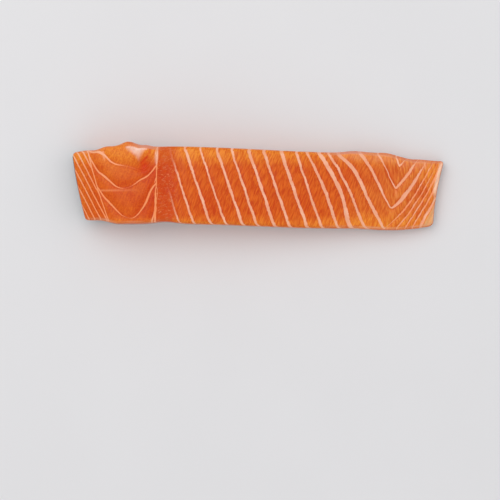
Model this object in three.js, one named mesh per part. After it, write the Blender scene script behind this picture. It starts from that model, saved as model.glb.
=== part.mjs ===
/**
 * Skin-on salmon fillet, in millimetres.
 *
 * The portion is a slice cut straight across one side of a salmon. Its length runs from the back
 * of the fish (-X) to the belly (+X), its two long sides are knife cuts (-Y and +Y), and it lies
 * on its skin with the flesh up (+Z). The skin is flat under most of the portion, wraps up round
 * the thick back end and lifts a little at the thin belly edge. The origin is the middle of the
 * face that it rests on.
 *
 * Both solids are boxes of small cells, bent by formulas. A point of a box has three shares:
 *   along   0 at the back end, 1 at the belly end
 *   across  -1 at the -Y cut, 1 at the +Y cut
 *   up      0 at the skin, 1 at the top of the flesh
 */
import * as THREE from 'three';
import { mergeVertices } from 'three/addons/utils/BufferGeometryUtils.js';

// Ends of the portion, seen from above: x at mid width, how far the end leans over half the
// width, and how far its middle bows out.
const BACK_END = { x: -89.35, lean: -3.0, bow: -0.6 };
const BELLY_END = { x: 90.95, lean: 2.8, bow: -1.0 };

// Knife-cut sides, seen from above: y at the back end, then steps that stay and swells that pass.
const UPPER_CUT = {
  y: 17.0,
  steps: [
    { from: -93, to: -84, rise: 0.95 },
    { from: -82, to: -74.5, rise: 2.0 },
    { from: -70.5, to: -64.5, rise: 0.45 },
    { from: -57, to: -49, rise: -0.5 },
    { from: -45, to: 45, rise: -2.9 },
    { from: 62, to: 79, rise: -3.35 },
    { from: 80, to: 92, rise: -0.9 },
  ],
  swells: [
    { at: -64.3, spread: 3.3, rise: 2.05 },
    { at: -55.3, spread: 1.6, rise: 0.4 },
    { at: 48.5, spread: 5, rise: 0.9 },
  ],
};
const LOWER_CUT = {
  y: -17.0,
  steps: [
    { from: -79.5, to: -69, rise: -1.9 },
    { from: -40, to: 40, rise: -2.2 },
    { from: 70, to: 82, rise: 0.3 },
    { from: 79, to: 88, rise: 1.0 },
  ],
  swells: [
    { at: -46, spread: 5, rise: 1.1 },
    { at: 66, spread: 9, rise: -0.9 },
  ],
};

// How far the flesh draws back from the skin's edge: at the foot of each cut, more at its top, and
// at the belly end. Half-way up, the cut faces bulge.
const CUT_TUCK = 0.1;
const SHRINK = 0.1;
const UPPER_SHRINK = [
  { at: -57, spread: 8, rise: 0.35 },
  { at: 47, spread: 8, rise: 0.35 },
];
const LOWER_SHRINK = [
  { at: -59, spread: 9, rise: 0.3 },
  { at: 56, spread: 13, rise: 0.25 },
];
const CUT_BULGE = 0.15;
const BELLY_SHRINK = 0.15;

// Side profile of the flesh: its top rises from the back end to the loin and falls to the belly.
const BACK_HEIGHT = 13.4;
const LOIN_RISE = 10.1;
const LOIN_RISE_RUN = 14;
const BELLY_FALL = 17.6;
const BELLY_FALL_FROM = 40;
const BELLY_FALL_TO = 200;
const CROWN = 0.7;

// Skin, and how far in from its outer face the top of the flesh starts at the back end
const SKIN_THICK = 0.7;
const SKIN_GAP = 0.3;
const BACK_LIP = 0.1;
const WRAP_RUN = 18;
const WRAP_RISE = 12.6;
const CURL_RUN = 9;
const CURL_RISE = 0.8;

// Rounded corners in plan and along the top edges
const CORNER_RADIUS = 2.2;
const TOP_EDGE_RADIUS = 1.9;
const TOP_EDGE_SHARE = 0.36;

// White sheets between the muscle blocks: where they meet the top face the blocks dip.
const FLAKE_DIP = 0.55;
const BELLY_PITCH = 8.1;
const BELLY_FIRST = { x: 69.9, y: -2 };
const BELLY_LEAN = { atBelly: 0.5, atMidline: 0.36, from: 45, to: -40 };
const BELLY_AXIS = { x: 66.75, slope: 0.9, bend: 0.026, reach: 12 };
const BELLY_LEVELS = [5.5, -3.5, -11.65, -18.6, -23.55, -28, -32.75, -38, -42.5];
const LOIN_AXIS = { x: -65.8, y: -0.8, lean: 0.29, pitch: 13.5, growth: 0.11 };
const LOIN_BEND = { towardBack: 0.07, towardMidline: 0.035, steeper: 0.13, from: 4.2, to: -10.8 };
const BAND_EDGE = { x: -84.6, y: 16, lean: 0.305 };
const MIDLINE = { x: -50.6, lean: 0.035 };

// The relief fades out over these distances at the back end, past the band's edge and beside the
// midline, and with this power of the share up on the cut sides.
const RELIEF_FADE = { backEnd: 8, bandEdge: 3, midline: 4, power: 3 };

// Low and high places on the top face: centre, spread along x and y, and height
const TOP_FORMS = [
  { x: -44.8, y: 0, spreadX: 4.2, spreadY: 60, rise: -0.9 },
  { x: -56.6, y: 10.5, spreadX: 2.6, spreadY: 3.4, rise: -1.5 },
  { x: -62.0, y: 18.0, spreadX: 5.0, spreadY: 2.6, rise: 0.6 },
  { x: 20, y: 2, spreadX: 22, spreadY: 12, rise: 0.5 },
];

// Cells of the two boxes: along, across and up, with some of them kept for the rounded rim
const FLESH_CELLS = { along: 92, across: 22, up: 6, rim: 3 };
const SKIN_CELLS = { along: 58, across: 12, up: 1, rim: 2 };
const RIM_WIDTH = 2.6;

/** 0 before `from`, 1 after `to`, with a smooth rise between. */
function ramp(value, from, to) {
  const t = Math.min(Math.max((value - from) / (to - from), 0), 1);
  return t * t * (3 - 2 * t);
}

/** A smooth hump of height 1. */
function bell(value, centre, spread) {
  return Math.exp(-0.5 * ((value - centre) / spread) ** 2);
}

/** The sum of swells at x. */
function swell(x, swells) {
  return swells.reduce((sum, part) => sum + part.rise * bell(x, part.at, part.spread), 0);
}

/** y of a knife cut at x. */
function cutY(cut, x) {
  const steps = cut.steps.reduce((sum, part) => sum + part.rise * ramp(x, part.from, part.to), 0);
  return cut.y + steps + swell(x, cut.swells);
}

/** x of an end at a share across. */
function endX(end, across) {
  return end.x + end.lean * across + end.bow * (1 - across * across);
}

/** Height of the top of the flesh, at a distance from the back end. */
function topHeight(run) {
  const loin = LOIN_RISE * (1 - Math.exp(-run / LOIN_RISE_RUN));
  return BACK_HEIGHT + loin - BELLY_FALL * ramp(run, BELLY_FALL_FROM, BELLY_FALL_TO);
}

/**
 * A point of the skin's outer face, seen from the side, moved inwards by `depth`. The face is a
 * quarter ellipse round the back end, then the floor, then a parabola up at the belly edge.
 */
function skinProfile(run, rowLength, depth) {
  if (run < WRAP_RUN) {
    const turn = (Math.PI / 2) * (run / WRAP_RUN);
    const inX = WRAP_RISE * Math.cos(turn);
    const inZ = WRAP_RUN * Math.sin(turn);
    const size = Math.hypot(inX, inZ);
    return {
      run: WRAP_RUN * (1 - Math.cos(turn)) + (depth * inX) / size,
      z: WRAP_RISE * (1 - Math.sin(turn)) + (depth * inZ) / size,
    };
  }
  const left = Math.max(CURL_RUN - (rowLength - run), 0) / CURL_RUN;
  return { run, z: CURL_RISE * left * left + depth };
}

/** Phase of the belly's white sheets at the top face: whole numbers lie on a sheet. */
function bellyPhase(x, y) {
  const toMidline = ramp(-x, -BELLY_LEAN.from, -BELLY_LEAN.to);
  const lean = BELLY_LEAN.atBelly + (BELLY_LEAN.atMidline - BELLY_LEAN.atBelly) * toMidline;
  const left = 1 + (BELLY_FIRST.x + (BELLY_FIRST.y - y) * lean - x) / BELLY_PITCH;
  const past = x - BELLY_AXIS.x;
  const level = y - BELLY_AXIS.slope * past - BELLY_AXIS.bend * past * past;
  return past > -BELLY_AXIS.reach ? Math.max(left, levelPhase(level)) : left;
}

/** Phase of the arms that run to the belly edge, read between their levels. */
function levelPhase(level) {
  for (let i = 1; i < BELLY_LEVELS.length; i += 1) {
    if (level > BELLY_LEVELS[i]) {
      return i - (level - BELLY_LEVELS[i]) / (BELLY_LEVELS[i - 1] - BELLY_LEVELS[i]);
    }
  }
  return BELLY_LEVELS.length;
}

/** Phase of the loin's nested white sheets: each is a parabola open to +Y on a leaning axis. */
function loinPhase(x, y) {
  const off = x - LOIN_AXIS.x + LOIN_AXIS.lean * (y - LOIN_AXIS.y);
  const lower = Math.min(Math.max((LOIN_BEND.from - y) / (LOIN_BEND.from - LOIN_BEND.to), 0), 1);
  const midlineBend = LOIN_BEND.towardMidline + LOIN_BEND.steeper * lower;
  const drop = LOIN_AXIS.y - y + (off < 0 ? LOIN_BEND.towardBack : midlineBend) * off * off;
  return 1 + drop / (LOIN_AXIS.pitch + LOIN_AXIS.growth * drop);
}

/** Height of the low relief on the top face. */
function relief(x, y) {
  const forms = TOP_FORMS.reduce(
    (sum, form) => sum + form.rise * bell(x, form.x, form.spreadX) * bell(y, form.y, form.spreadY),
    0,
  );
  const bandEdge = BAND_EDGE.x + BAND_EDGE.lean * (BAND_EDGE.y - y);
  const midline = MIDLINE.x + MIDLINE.lean * y;
  if (x < bandEdge) {
    return forms;
  }
  const phase = x < midline ? loinPhase(x, y) : bellyPhase(x, y);
  const onSheet = 0.5 + 0.5 * Math.cos(2 * Math.PI * phase);
  const pastBand = ramp(x, bandEdge, bandEdge + RELIEF_FADE.bandEdge);
  const fade = pastBand * ramp(Math.abs(x - midline), 0, RELIEF_FADE.midline);
  return forms - FLAKE_DIP * onSheet * onSheet * fade;
}

/** The share of the full length at which cell line i of `cells` lies, closer together in a rim. */
function cellShare(i, cells, rimCells, rimShare) {
  if (i < rimCells) {
    return (rimShare * i) / rimCells;
  }
  if (i > cells - rimCells) {
    return 1 - (rimShare * (cells - i)) / rimCells;
  }
  return rimShare + ((1 - 2 * rimShare) * (i - rimCells)) / (cells - 2 * rimCells);
}

/**
 * Plan of a point: its x and y with the corners rounded, and the way in from the edge. `tuck` is
 * how far the outline draws in at the -Y cut, the +Y cut and the belly end. At the back end the
 * rows get shorter towards the tip along a quarter circle; at the belly end the corner cells are
 * pressed from a square into a quarter disc.
 */
function planPoint(along, across, runShift, tuck) {
  const start = endX(BACK_END, across);
  const rowLength = endX(BELLY_END, across) - tuck.belly - start;
  const run = along * rowLength;
  const x = start + run + runShift;
  const toArc = Math.max(CORNER_RADIUS - (run + runShift), 0);
  const shorter = CORNER_RADIUS - Math.sqrt(CORNER_RADIUS ** 2 - toArc ** 2);
  const low = cutY(LOWER_CUT, x) + tuck.lower + shorter;
  const high = cutY(UPPER_CUT, x) - tuck.upper - shorter;
  const y = low + ((high - low) * (across + 1)) / 2;
  const sideGap = ((1 - Math.abs(across)) * (high - low)) / 2;
  const nearBack = Math.max(1 - run / CORNER_RADIUS, 0);
  const nearBelly = Math.max(1 - (rowLength - run) / CORNER_RADIUS, 0);
  const nearSide = Math.max(1 - sideGap / CORNER_RADIUS, 0);
  const side = Math.sign(across);
  const reach = Math.hypot(nearBelly, nearSide);
  const squeeze = reach > 0 ? CORNER_RADIUS * (1 - Math.max(nearBelly, nearSide) / reach) : 0;
  const inward = new THREE.Vector2(nearBack - nearBelly, -side * nearSide).normalize();
  return {
    x: x - squeeze * nearBelly,
    y: y - squeeze * side * nearSide,
    inward,
    edgeGap: Math.min(run, rowLength - run, sideGap),
    run,
    rowLength,
  };
}

/** A point of the flesh. */
function fleshPoint(along, across, up) {
  const depth = SKIN_THICK + SKIN_GAP;
  const start = endX(BACK_END, across);
  const shrinkX = start + along * (endX(BELLY_END, across) - start);
  const bulge = CUT_BULGE * Math.sin(Math.PI * up);
  const tuck = {
    lower: CUT_TUCK + (SHRINK + swell(shrinkX, LOWER_SHRINK)) * up - bulge,
    upper: CUT_TUCK + (SHRINK + swell(shrinkX, UPPER_SHRINK)) * up - bulge,
    belly: BELLY_SHRINK,
  };
  const topShift = BACK_LIP * (1 - along);
  const flat = planPoint(along, across, 0, tuck);
  const bottom = skinProfile(flat.run, flat.rowLength, depth);
  const runShift = (bottom.run - flat.run) * (1 - up) + topShift * up;
  const plan = planPoint(along, across, runShift, tuck);
  const top = topHeight(flat.run) + CROWN * (1 - across * across);
  const height = top - bottom.z;
  const radius = Math.min(TOP_EDGE_RADIUS, TOP_EDGE_SHARE * height);
  const nearEdge = Math.max(1 - plan.edgeGap / radius, 0);
  const nearTop = Math.max(1 - ((1 - up) * height) / radius, 0);
  const reach = Math.hypot(nearEdge, nearTop);
  const squeeze = reach > 0 ? 1 - Math.max(nearEdge, nearTop) / reach : 0;
  const x = plan.x + radius * squeeze * nearEdge * plan.inward.x;
  const y = plan.y + radius * squeeze * nearEdge * plan.inward.y;
  const z = bottom.z + height * up - radius * squeeze * nearTop;
  const fade = up ** RELIEF_FADE.power * ramp(flat.run, 0, RELIEF_FADE.backEnd);
  return new THREE.Vector3(x, y, z + relief(x, y) * fade);
}

/** A point of the skin, whose share up runs from its outer face to the face under the flesh. */
function skinPoint(along, across, up) {
  const tuck = { lower: 0, upper: 0, belly: 0 };
  const flat = planPoint(along, across, 0, tuck);
  const face = skinProfile(flat.run, flat.rowLength, SKIN_THICK * up);
  const plan = planPoint(along, across, face.run - flat.run, tuck);
  return new THREE.Vector3(plan.x, plan.y, face.z);
}

/** A closed box of cells with every point moved to where `place` puts its three shares. */
function bentBox(cells, upRim, place) {
  const box = new THREE.BoxGeometry(1, 1, 1, cells.along, cells.across, cells.up);
  const length = BELLY_END.x - BACK_END.x;
  const width = UPPER_CUT.y - LOWER_CUT.y;
  const point = box.getAttribute('position');
  for (let i = 0; i < point.count; i += 1) {
    const along = Math.round((point.getX(i) + 0.5) * cells.along);
    const across = Math.round((point.getY(i) + 0.5) * cells.across);
    const up = Math.round((point.getZ(i) + 0.5) * cells.up);
    const placed = place(
      cellShare(along, cells.along, cells.rim, RIM_WIDTH / length),
      2 * cellShare(across, cells.across, cells.rim, RIM_WIDTH / width) - 1,
      upRim(up / cells.up),
    );
    point.setXYZ(i, placed.x, placed.y, placed.z);
  }
  box.deleteAttribute('normal');
  box.deleteAttribute('uv');
  const solid = mergeVertices(box);
  solid.computeVertexNormals();
  return solid;
}

/** Cell lines of the flesh crowd towards its rounded top edge. */
function crowdUp(share) {
  return Math.sin((Math.PI / 2) * share);
}

const flesh = new THREE.Mesh(
  bentBox(FLESH_CELLS, crowdUp, fleshPoint),
  new THREE.MeshStandardMaterial({ color: 0xdc7a48, roughness: 0.35, metalness: 0 }),
);
flesh.name = 'flesh';

const skin = new THREE.Mesh(
  bentBox(SKIN_CELLS, (share) => share, skinPoint),
  new THREE.MeshStandardMaterial({ color: 0x8a8f93, roughness: 0.3, metalness: 0.2 }),
);
skin.name = 'skin';

const fillet = new THREE.Group();
fillet.add(flesh, skin);

const middle = new THREE.Box3().setFromObject(fillet).getCenter(new THREE.Vector3());
fillet.position.set(-middle.x, -middle.y, 0);

export default fillet;
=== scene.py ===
"""Skin-on salmon fillet: the looks of its flesh and its skin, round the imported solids.

The fillet's forms are worked out in millimetres, with x from the back of the fish to the belly,
y across the portion from knife cut to knife cut, and z up from the skin to the flesh side. They
become metres when a mesh is made.
"""

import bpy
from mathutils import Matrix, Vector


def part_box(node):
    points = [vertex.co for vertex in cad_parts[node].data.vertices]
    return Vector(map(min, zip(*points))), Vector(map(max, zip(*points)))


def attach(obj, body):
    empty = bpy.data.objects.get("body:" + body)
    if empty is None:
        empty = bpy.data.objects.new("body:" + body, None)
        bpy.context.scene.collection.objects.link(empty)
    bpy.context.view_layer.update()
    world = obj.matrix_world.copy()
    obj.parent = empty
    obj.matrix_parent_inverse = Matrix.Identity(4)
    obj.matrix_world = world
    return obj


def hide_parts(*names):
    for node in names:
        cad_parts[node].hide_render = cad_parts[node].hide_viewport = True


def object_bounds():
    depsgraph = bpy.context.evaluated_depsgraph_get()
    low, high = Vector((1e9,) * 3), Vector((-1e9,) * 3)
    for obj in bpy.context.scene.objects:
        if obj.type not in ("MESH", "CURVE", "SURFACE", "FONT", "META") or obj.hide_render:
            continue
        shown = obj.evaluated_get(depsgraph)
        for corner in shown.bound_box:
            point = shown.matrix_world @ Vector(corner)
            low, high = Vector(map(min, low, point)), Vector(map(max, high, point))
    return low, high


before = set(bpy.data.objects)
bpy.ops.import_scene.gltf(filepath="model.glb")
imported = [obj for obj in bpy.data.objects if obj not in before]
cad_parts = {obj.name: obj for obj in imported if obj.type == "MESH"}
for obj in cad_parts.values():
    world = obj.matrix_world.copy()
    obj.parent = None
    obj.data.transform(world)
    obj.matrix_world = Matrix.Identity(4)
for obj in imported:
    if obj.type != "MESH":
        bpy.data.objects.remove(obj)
cad_box = [list(corner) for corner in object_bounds()]

import itertools
import logging
import math
from dataclasses import dataclass
from enum import Enum

import bpy
import numpy as np
from mathutils import Vector

Array = np.ndarray
Socket = bpy.types.NodeSocket
Value = float | Socket
Colour = tuple[float, float, float]
Cell = tuple[float, float, float]
Row = tuple[float, ...]
Spot = tuple[float, float]
Span = tuple[float, float]

MM = 0.001
LOG = logging.getLogger("salmon_fillet")

HASH_PRIMES = np.array((73856093, 19349663, 83492791))
HASH_SEED = 2654435761
HASH_MIX = 1274126177
HASH_FOLD, HASH_DROP = 13, 8
HASH_KEEP, HASH_TOP = 0x7FFFFFFF, 0xFFFF
SINE_HASH = 43758.5453
OCTAVES, OCTAVE_SCALE = 3, 1.4
PAST_END = 1.001
SMALLEST = 1e-12


# Shaping functions


def ramp(value: Array | float, start: float | Array, end: float | Array) -> Array:
    """Return 0 before start, 1 after end, and the cubic 3t^2 - 2t^3 between."""
    t = np.clip((value - start) / (end - start), 0.0, 1.0)
    return t * t * (3.0 - 2.0 * t)


def bell(value: Array, centre: float, spread: float) -> Array:
    """Return the normal curve of height 1 round a centre."""
    return np.exp(-0.5 * ((value - centre) / spread) ** 2)


def window(value: Array, rise: Span, fall: Span) -> Array:
    """Return a value's ramp up over one range, times its ramp down over another."""
    return ramp(value, *rise) * (1.0 - ramp(value, *fall))


def near(gap: Array, reach: float | Array) -> Array:
    """Return 1 where a gap is 0, and evenly less, down to 0 where it is as long as the reach."""
    return np.maximum(1.0 - gap / reach, 0.0)


def press(first: Array, second: Array, radius: float | Array) -> Array:
    """Return how far points go in as a square corner is pressed into a quarter circle.

    The closeness to the two edges is a place in a unit square. A point goes in by the radius, times
    one less the larger closeness over the length of both.

    Args:
        first: Closeness to one edge, from 0 to 1.
        second: Closeness to the other edge.
        radius: Radius of the corner, in mm.

    Returns:
        The way for a closeness of 1, in mm.
    """
    reach = np.maximum(np.hypot(first, second), SMALLEST)
    return radius * (1.0 - np.maximum(first, second) / reach)


def sine_chance(first: Array, second: Array, turn: Spot) -> Array:
    """Return a random value from 0 to 1 for each pair: the fraction of a large multiple of a sine."""
    return np.mod(np.sin(first * turn[0] + second * turn[1]) * SINE_HASH, 1.0)


def lattice_noise(points: Array, seed: int) -> Array:
    """Return smooth random values between -1 and 1.

    Each corner of a unit lattice has a hashed value, and the eight corners round a point are
    blended by the cubic 3t^2 - 2t^3 of its place in the cell.

    Args:
        points: N by 3 places, in cells.
        seed: Chooses the random values.

    Returns:
        N values.
    """
    base = np.floor(points).astype(np.int64)
    part = points - base
    blend = part * part * (3.0 - 2.0 * part)
    total = np.zeros(len(points))
    for corner in itertools.product((0, 1), repeat=3):
        mixed = np.bitwise_xor.reduce((base + np.array(corner)) * HASH_PRIMES, axis=1) ^ seed * HASH_SEED
        mixed = (mixed ^ (mixed >> HASH_FOLD)) * HASH_MIX & HASH_KEEP
        value = ((mixed >> HASH_DROP) & HASH_TOP) / (HASH_TOP / 2) - 1.0
        total += value * np.prod(np.where(corner, blend, 1.0 - blend), axis=1)
    return total


def interval(x: Array, start: float, step: float, count: int) -> tuple[Array, Array]:
    """Return which interval between evenly spaced places x lies in, and its share of the interval.

    Args:
        x: Points.
        start: The first place.
        step: Distance between places.
        count: How many places there are.

    Returns:
        Numbers of the intervals, and shares from 0 to 1. Points past an end are held at it.
    """
    place = np.clip((x - start) / step, 0.0, count - PAST_END)
    index = place.astype(int)
    return index, place - index


def smooth_curve(x: Array, start: float, step: float, heights: Row) -> Array:
    """Return a Catmull-Rom curve through heights that stand evenly along x.

    Args:
        x: Where to read the curve.
        start: x of the first height.
        step: Distance between heights.
        heights: Heights that the curve passes through.

    Returns:
        The curve at x, held level past its ends.
    """
    h = np.array(heights)
    index, t = interval(x, start, step, len(h))
    here, there = h[index], h[index + 1]
    slope_here = (there - h[np.maximum(index - 1, 0)]) / 2
    slope_there = (h[np.minimum(index + 2, len(h) - 1)] - here) / 2
    rise = there - here
    bend = slope_here + slope_there - 2 * rise
    return here + t * (slope_here + t * (3 * rise - 2 * slope_here - slope_there + t * bend))


def phase_between(curves: list[Array], level: Array) -> Array:
    """Return where a level lies between falling curves: 0 on the first, 1 on the second, and so on.

    Args:
        curves: Heights of the curves at each point, from the highest to the lowest.
        level: Height of each point.

    Returns:
        The phase, which runs on evenly past the first and the last curve.
    """
    last = len(curves) - 2
    phase = np.zeros_like(level)
    for n in range(last + 1):
        share = (curves[n] - level) / (curves[n] - curves[n + 1])
        phase += np.clip(share, -np.inf if n == 0 else 0.0, np.inf if n == last else 1.0)
    return phase


# Marks that outlines, relief and masks are made of, in mm


@dataclass(frozen=True)
class Swell:
    """A hump that passes, the normal curve."""

    centre: float
    spread: float
    rise: float

    def at(self, value: Array) -> Array:
        """Return the hump's height."""
        return self.rise * bell(value, self.centre, self.spread)


@dataclass(frozen=True)
class Step:
    """A change that stays."""

    start: float
    end: float
    rise: float

    def at(self, value: Array) -> Array:
        """Return the change reached."""
        return self.rise * ramp(value, self.start, self.end)


@dataclass(frozen=True)
class Mound:
    """An oval place, the product of two normal curves."""

    x: float
    y: float
    spread_x: float
    spread_y: float
    rise: float

    def at(self, x: Array, y: Array) -> Array:
        """Return the place's height at points."""
        return self.rise * bell(x, self.x, self.spread_x) * bell(y, self.y, self.spread_y)


@dataclass(frozen=True)
class Stroke:
    """A straight line with soft sides."""

    start: Spot
    end: Spot
    strength: float = 1.0
    spread: float = 0.33

    def share(self, x: Array, y: Array) -> Array:
        """Return how far along the line points lie.

        Args:
            x: Points, in mm.
            y: Points, in mm.

        Returns:
            Shares of its length, 0 at its start and 1 at its end.
        """
        run = np.subtract(self.end, self.start)
        along = (x - self.start[0]) * run[0] + (y - self.start[1]) * run[1]
        return np.clip(along / (run @ run), 0.0, 1.0)

    def at(self, x: Array, y: Array) -> Array:
        """Return the line's strength at points, the normal curve of their distance from it.

        Args:
            x: Points, in mm.
            y: Points, in mm.

        Returns:
            Strengths.
        """
        share = self.share(x, y)
        off_x = x - self.start[0] - share * (self.end[0] - self.start[0])
        off_y = y - self.start[1] - share * (self.end[1] - self.start[1])
        return self.strength * bell(np.hypot(off_x, off_y), 0.0, self.spread)

    def fading(self, x: Array, y: Array) -> Array:
        """Return the strength of a line that fades along its way by the square of the share."""
        return self.at(x, y) * (1.0 - self.share(x, y) ** 2)


@dataclass(frozen=True)
class Rough:
    """Random unevenness: three octaves of lattice noise, each half as large and twice as fine."""

    cell: Cell
    seed: int
    strength: float = 1.0

    def at(self, x: Array, y: Array, z: Array | float = 0.0) -> Array:
        """Return the unevenness at points.

        Args:
            x: Points, in mm.
            y: Points, in mm.
            z: Heights or depths, in mm.

        Returns:
            Values between about plus and minus its strength.
        """
        level = np.broadcast_to(z / self.cell[2], x.shape)
        points = np.stack([x / self.cell[0], y / self.cell[1], level], axis=1)
        octaves = [lattice_noise(points * 2**n, self.seed + n) / 2**n for n in range(OCTAVES)]
        return self.strength * sum(octaves) / OCTAVE_SCALE


# The form that both pieces share


@dataclass(frozen=True)
class KnifeCut:
    """A long side of the portion, seen from above, in mm."""

    y: float
    changes: tuple[Step | Swell, ...]
    shrink: tuple[Swell, ...]

    def y_at(self, x: Array) -> Array:
        """Return y of the skin's edge at x."""
        return self.y + sum(change.at(x) for change in self.changes)

    def shrink_at(self, x: Array) -> Array:
        """Return how far the flesh draws back at x beyond the common share."""
        return sum(swell.at(x) for swell in self.shrink)


@dataclass(frozen=True)
class EndLine:
    """An end of the portion, seen from above: x at mid width, lean over half the width, bow, in mm."""

    x: float
    lean: float
    bow: float

    def x_at(self, across: Array) -> Array:
        """Return x of the end at a share across."""
        return self.x + self.lean * across + self.bow * (1.0 - across * across)


@dataclass
class Plan:
    """Points seen from above, in mm, with their way in from the outline."""

    x: Array
    y: Array
    inward_x: Array
    inward_y: Array
    edge_gap: Array
    run: Array
    row_length: Array


@dataclass
class Tuck:
    """How far an outline draws in at the -Y cut, the +Y cut and the belly end, in mm."""

    lower: Array | float = 0.0
    upper: Array | float = 0.0
    belly: float = 0.0


@dataclass(frozen=True)
class PortionForm:
    """Plan and side profile of the portion, in mm."""

    back_end: EndLine = EndLine(-89.35, -3.0, -0.6)
    belly_end: EndLine = EndLine(90.95, 2.8, -1.0)
    upper_cut: KnifeCut = KnifeCut(
        17.0,
        (
            Step(-93, -84, 0.95),
            Step(-82, -74.5, 2.0),
            Step(-70.5, -64.5, 0.45),
            Step(-57, -49, -0.5),
            Step(-45, 45, -2.9),
            Step(62, 79, -3.35),
            Step(80, 92, -0.9),
            Swell(-64.3, 3.3, 2.05),
            Swell(-55.3, 1.6, 0.4),
            Swell(48.5, 5, 0.9),
        ),
        (Swell(-57, 8, 0.35), Swell(47, 8, 0.35)),
    )
    lower_cut: KnifeCut = KnifeCut(
        -17.0,
        (
            Step(-79.5, -69, -1.9),
            Step(-40, 40, -2.2),
            Step(70, 82, 0.3),
            Step(79, 88, 1.0),
            Swell(-46, 5, 1.1),
            Swell(66, 9, -0.9),
        ),
        (Swell(-59, 9, 0.3), Swell(56, 13, 0.25)),
    )
    back_height: float = 13.4
    loin_rise: float = 10.1
    loin_rise_run: float = 14.0
    belly_fall: Step = Step(40.0, 200.0, 17.6)
    crown: float = 0.7
    wrap_run: float = 18.0
    wrap_rise: float = 12.6
    curl_run: float = 9.0
    curl_rise: float = 0.8
    corner_radius: float = 2.2
    skin_thick: float = 0.7
    back_lip: float = 0.1

    def top_height(self, run: Array, across: Array) -> Array:
        """Return the height of the top: a rise from the back end, a fall to the belly and a crown."""
        loin = self.loin_rise * (1.0 - np.exp(-run / self.loin_rise_run))
        return self.back_height + loin - self.belly_fall.at(run) + self.crown * (1.0 - across * across)

    def cut_gaps(self, x: Array, y: Array) -> tuple[Array, Array]:
        """Return how far in points are from the lower cut and from the upper one."""
        return y - self.lower_cut.y_at(x), self.upper_cut.y_at(x) - y

    def skin_profile(self, run: Array, row_length: Array, depth: Array | float) -> tuple[Array, Array]:
        """Return a point of the skin's outer face, seen from the side, moved inwards.

        The face is a quarter ellipse round the back end, then the floor, then a parabola up at the
        belly edge.

        Args:
            run: Distance along the row from the back end.
            row_length: Length of the row.
            depth: How far inwards the point moves.

        Returns:
            Its distance from the back end in plan, and its height.
        """
        turn = (math.pi / 2) * np.minimum(run / self.wrap_run, 1.0)
        in_x = self.wrap_rise * np.cos(turn)
        in_z = self.wrap_run * np.sin(turn)
        size = np.hypot(in_x, in_z)
        curl = near(row_length - run, self.curl_run)
        wrapped = run < self.wrap_run
        out_run = np.where(wrapped, self.wrap_run * (1.0 - np.cos(turn)) + depth * in_x / size, run)
        out_z = np.where(
            wrapped,
            self.wrap_rise * (1.0 - np.sin(turn)) + depth * in_z / size,
            self.curl_rise * curl * curl + depth,
        )
        return out_run, out_z

    def plan(self, along: Array, across: Array, run_shift: Array | float, tuck: Tuck) -> Plan:
        """Return points seen from above, with the four corners rounded.

        At the back end the rows get shorter towards the tip along a quarter circle. At the belly end
        the corner cells are pressed from a square into a quarter disc.

        Args:
            along: Share from the back end to the belly end.
            across: Share from the -Y cut, -1, to the +Y cut, 1.
            run_shift: How far the points move along x.
            tuck: How far the outline draws in.

        Returns:
            The points.
        """
        radius = self.corner_radius
        start = self.back_end.x_at(across)
        row_length = self.belly_end.x_at(across) - tuck.belly - start
        run = along * row_length
        x = start + run + run_shift
        to_arc = np.clip(radius - (run + run_shift), 0.0, radius)
        shorter = radius - np.sqrt(radius**2 - to_arc**2)
        low = self.lower_cut.y_at(x) + tuck.lower + shorter
        high = self.upper_cut.y_at(x) - tuck.upper - shorter
        y = low + (high - low) * (across + 1.0) / 2.0
        side_gap = (1.0 - np.abs(across)) * (high - low) / 2.0
        near_back, near_belly = near(run, radius), near(row_length - run, radius)
        near_side, side = near(side_gap, radius), np.sign(across)
        squeeze = press(near_belly, near_side, radius)
        inward_x, inward_y = near_back - near_belly, -side * near_side
        size = np.maximum(np.hypot(inward_x, inward_y), SMALLEST)
        return Plan(
            x - squeeze * near_belly,
            y - squeeze * side * near_side,
            inward_x / size,
            inward_y / size,
            np.minimum(np.minimum(run, row_length - run), side_gap),
            run,
            row_length,
        )


@dataclass
class Grid:
    """The points and faces of a closed box, by the points' shares of its three sides."""

    along: Array
    across: Array
    up: Array
    quads: Array


@dataclass
class Patch:
    """A surface's points, in mm, with the shares and the plan that they came from."""

    x: Array
    y: Array
    z: Array
    across: Array
    up: Array
    plan: Plan
    quads: Array

    def points(self) -> Array:
        """Return the points as N by 3 places."""
        return np.stack([self.x, self.y, self.z], axis=1)


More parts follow.
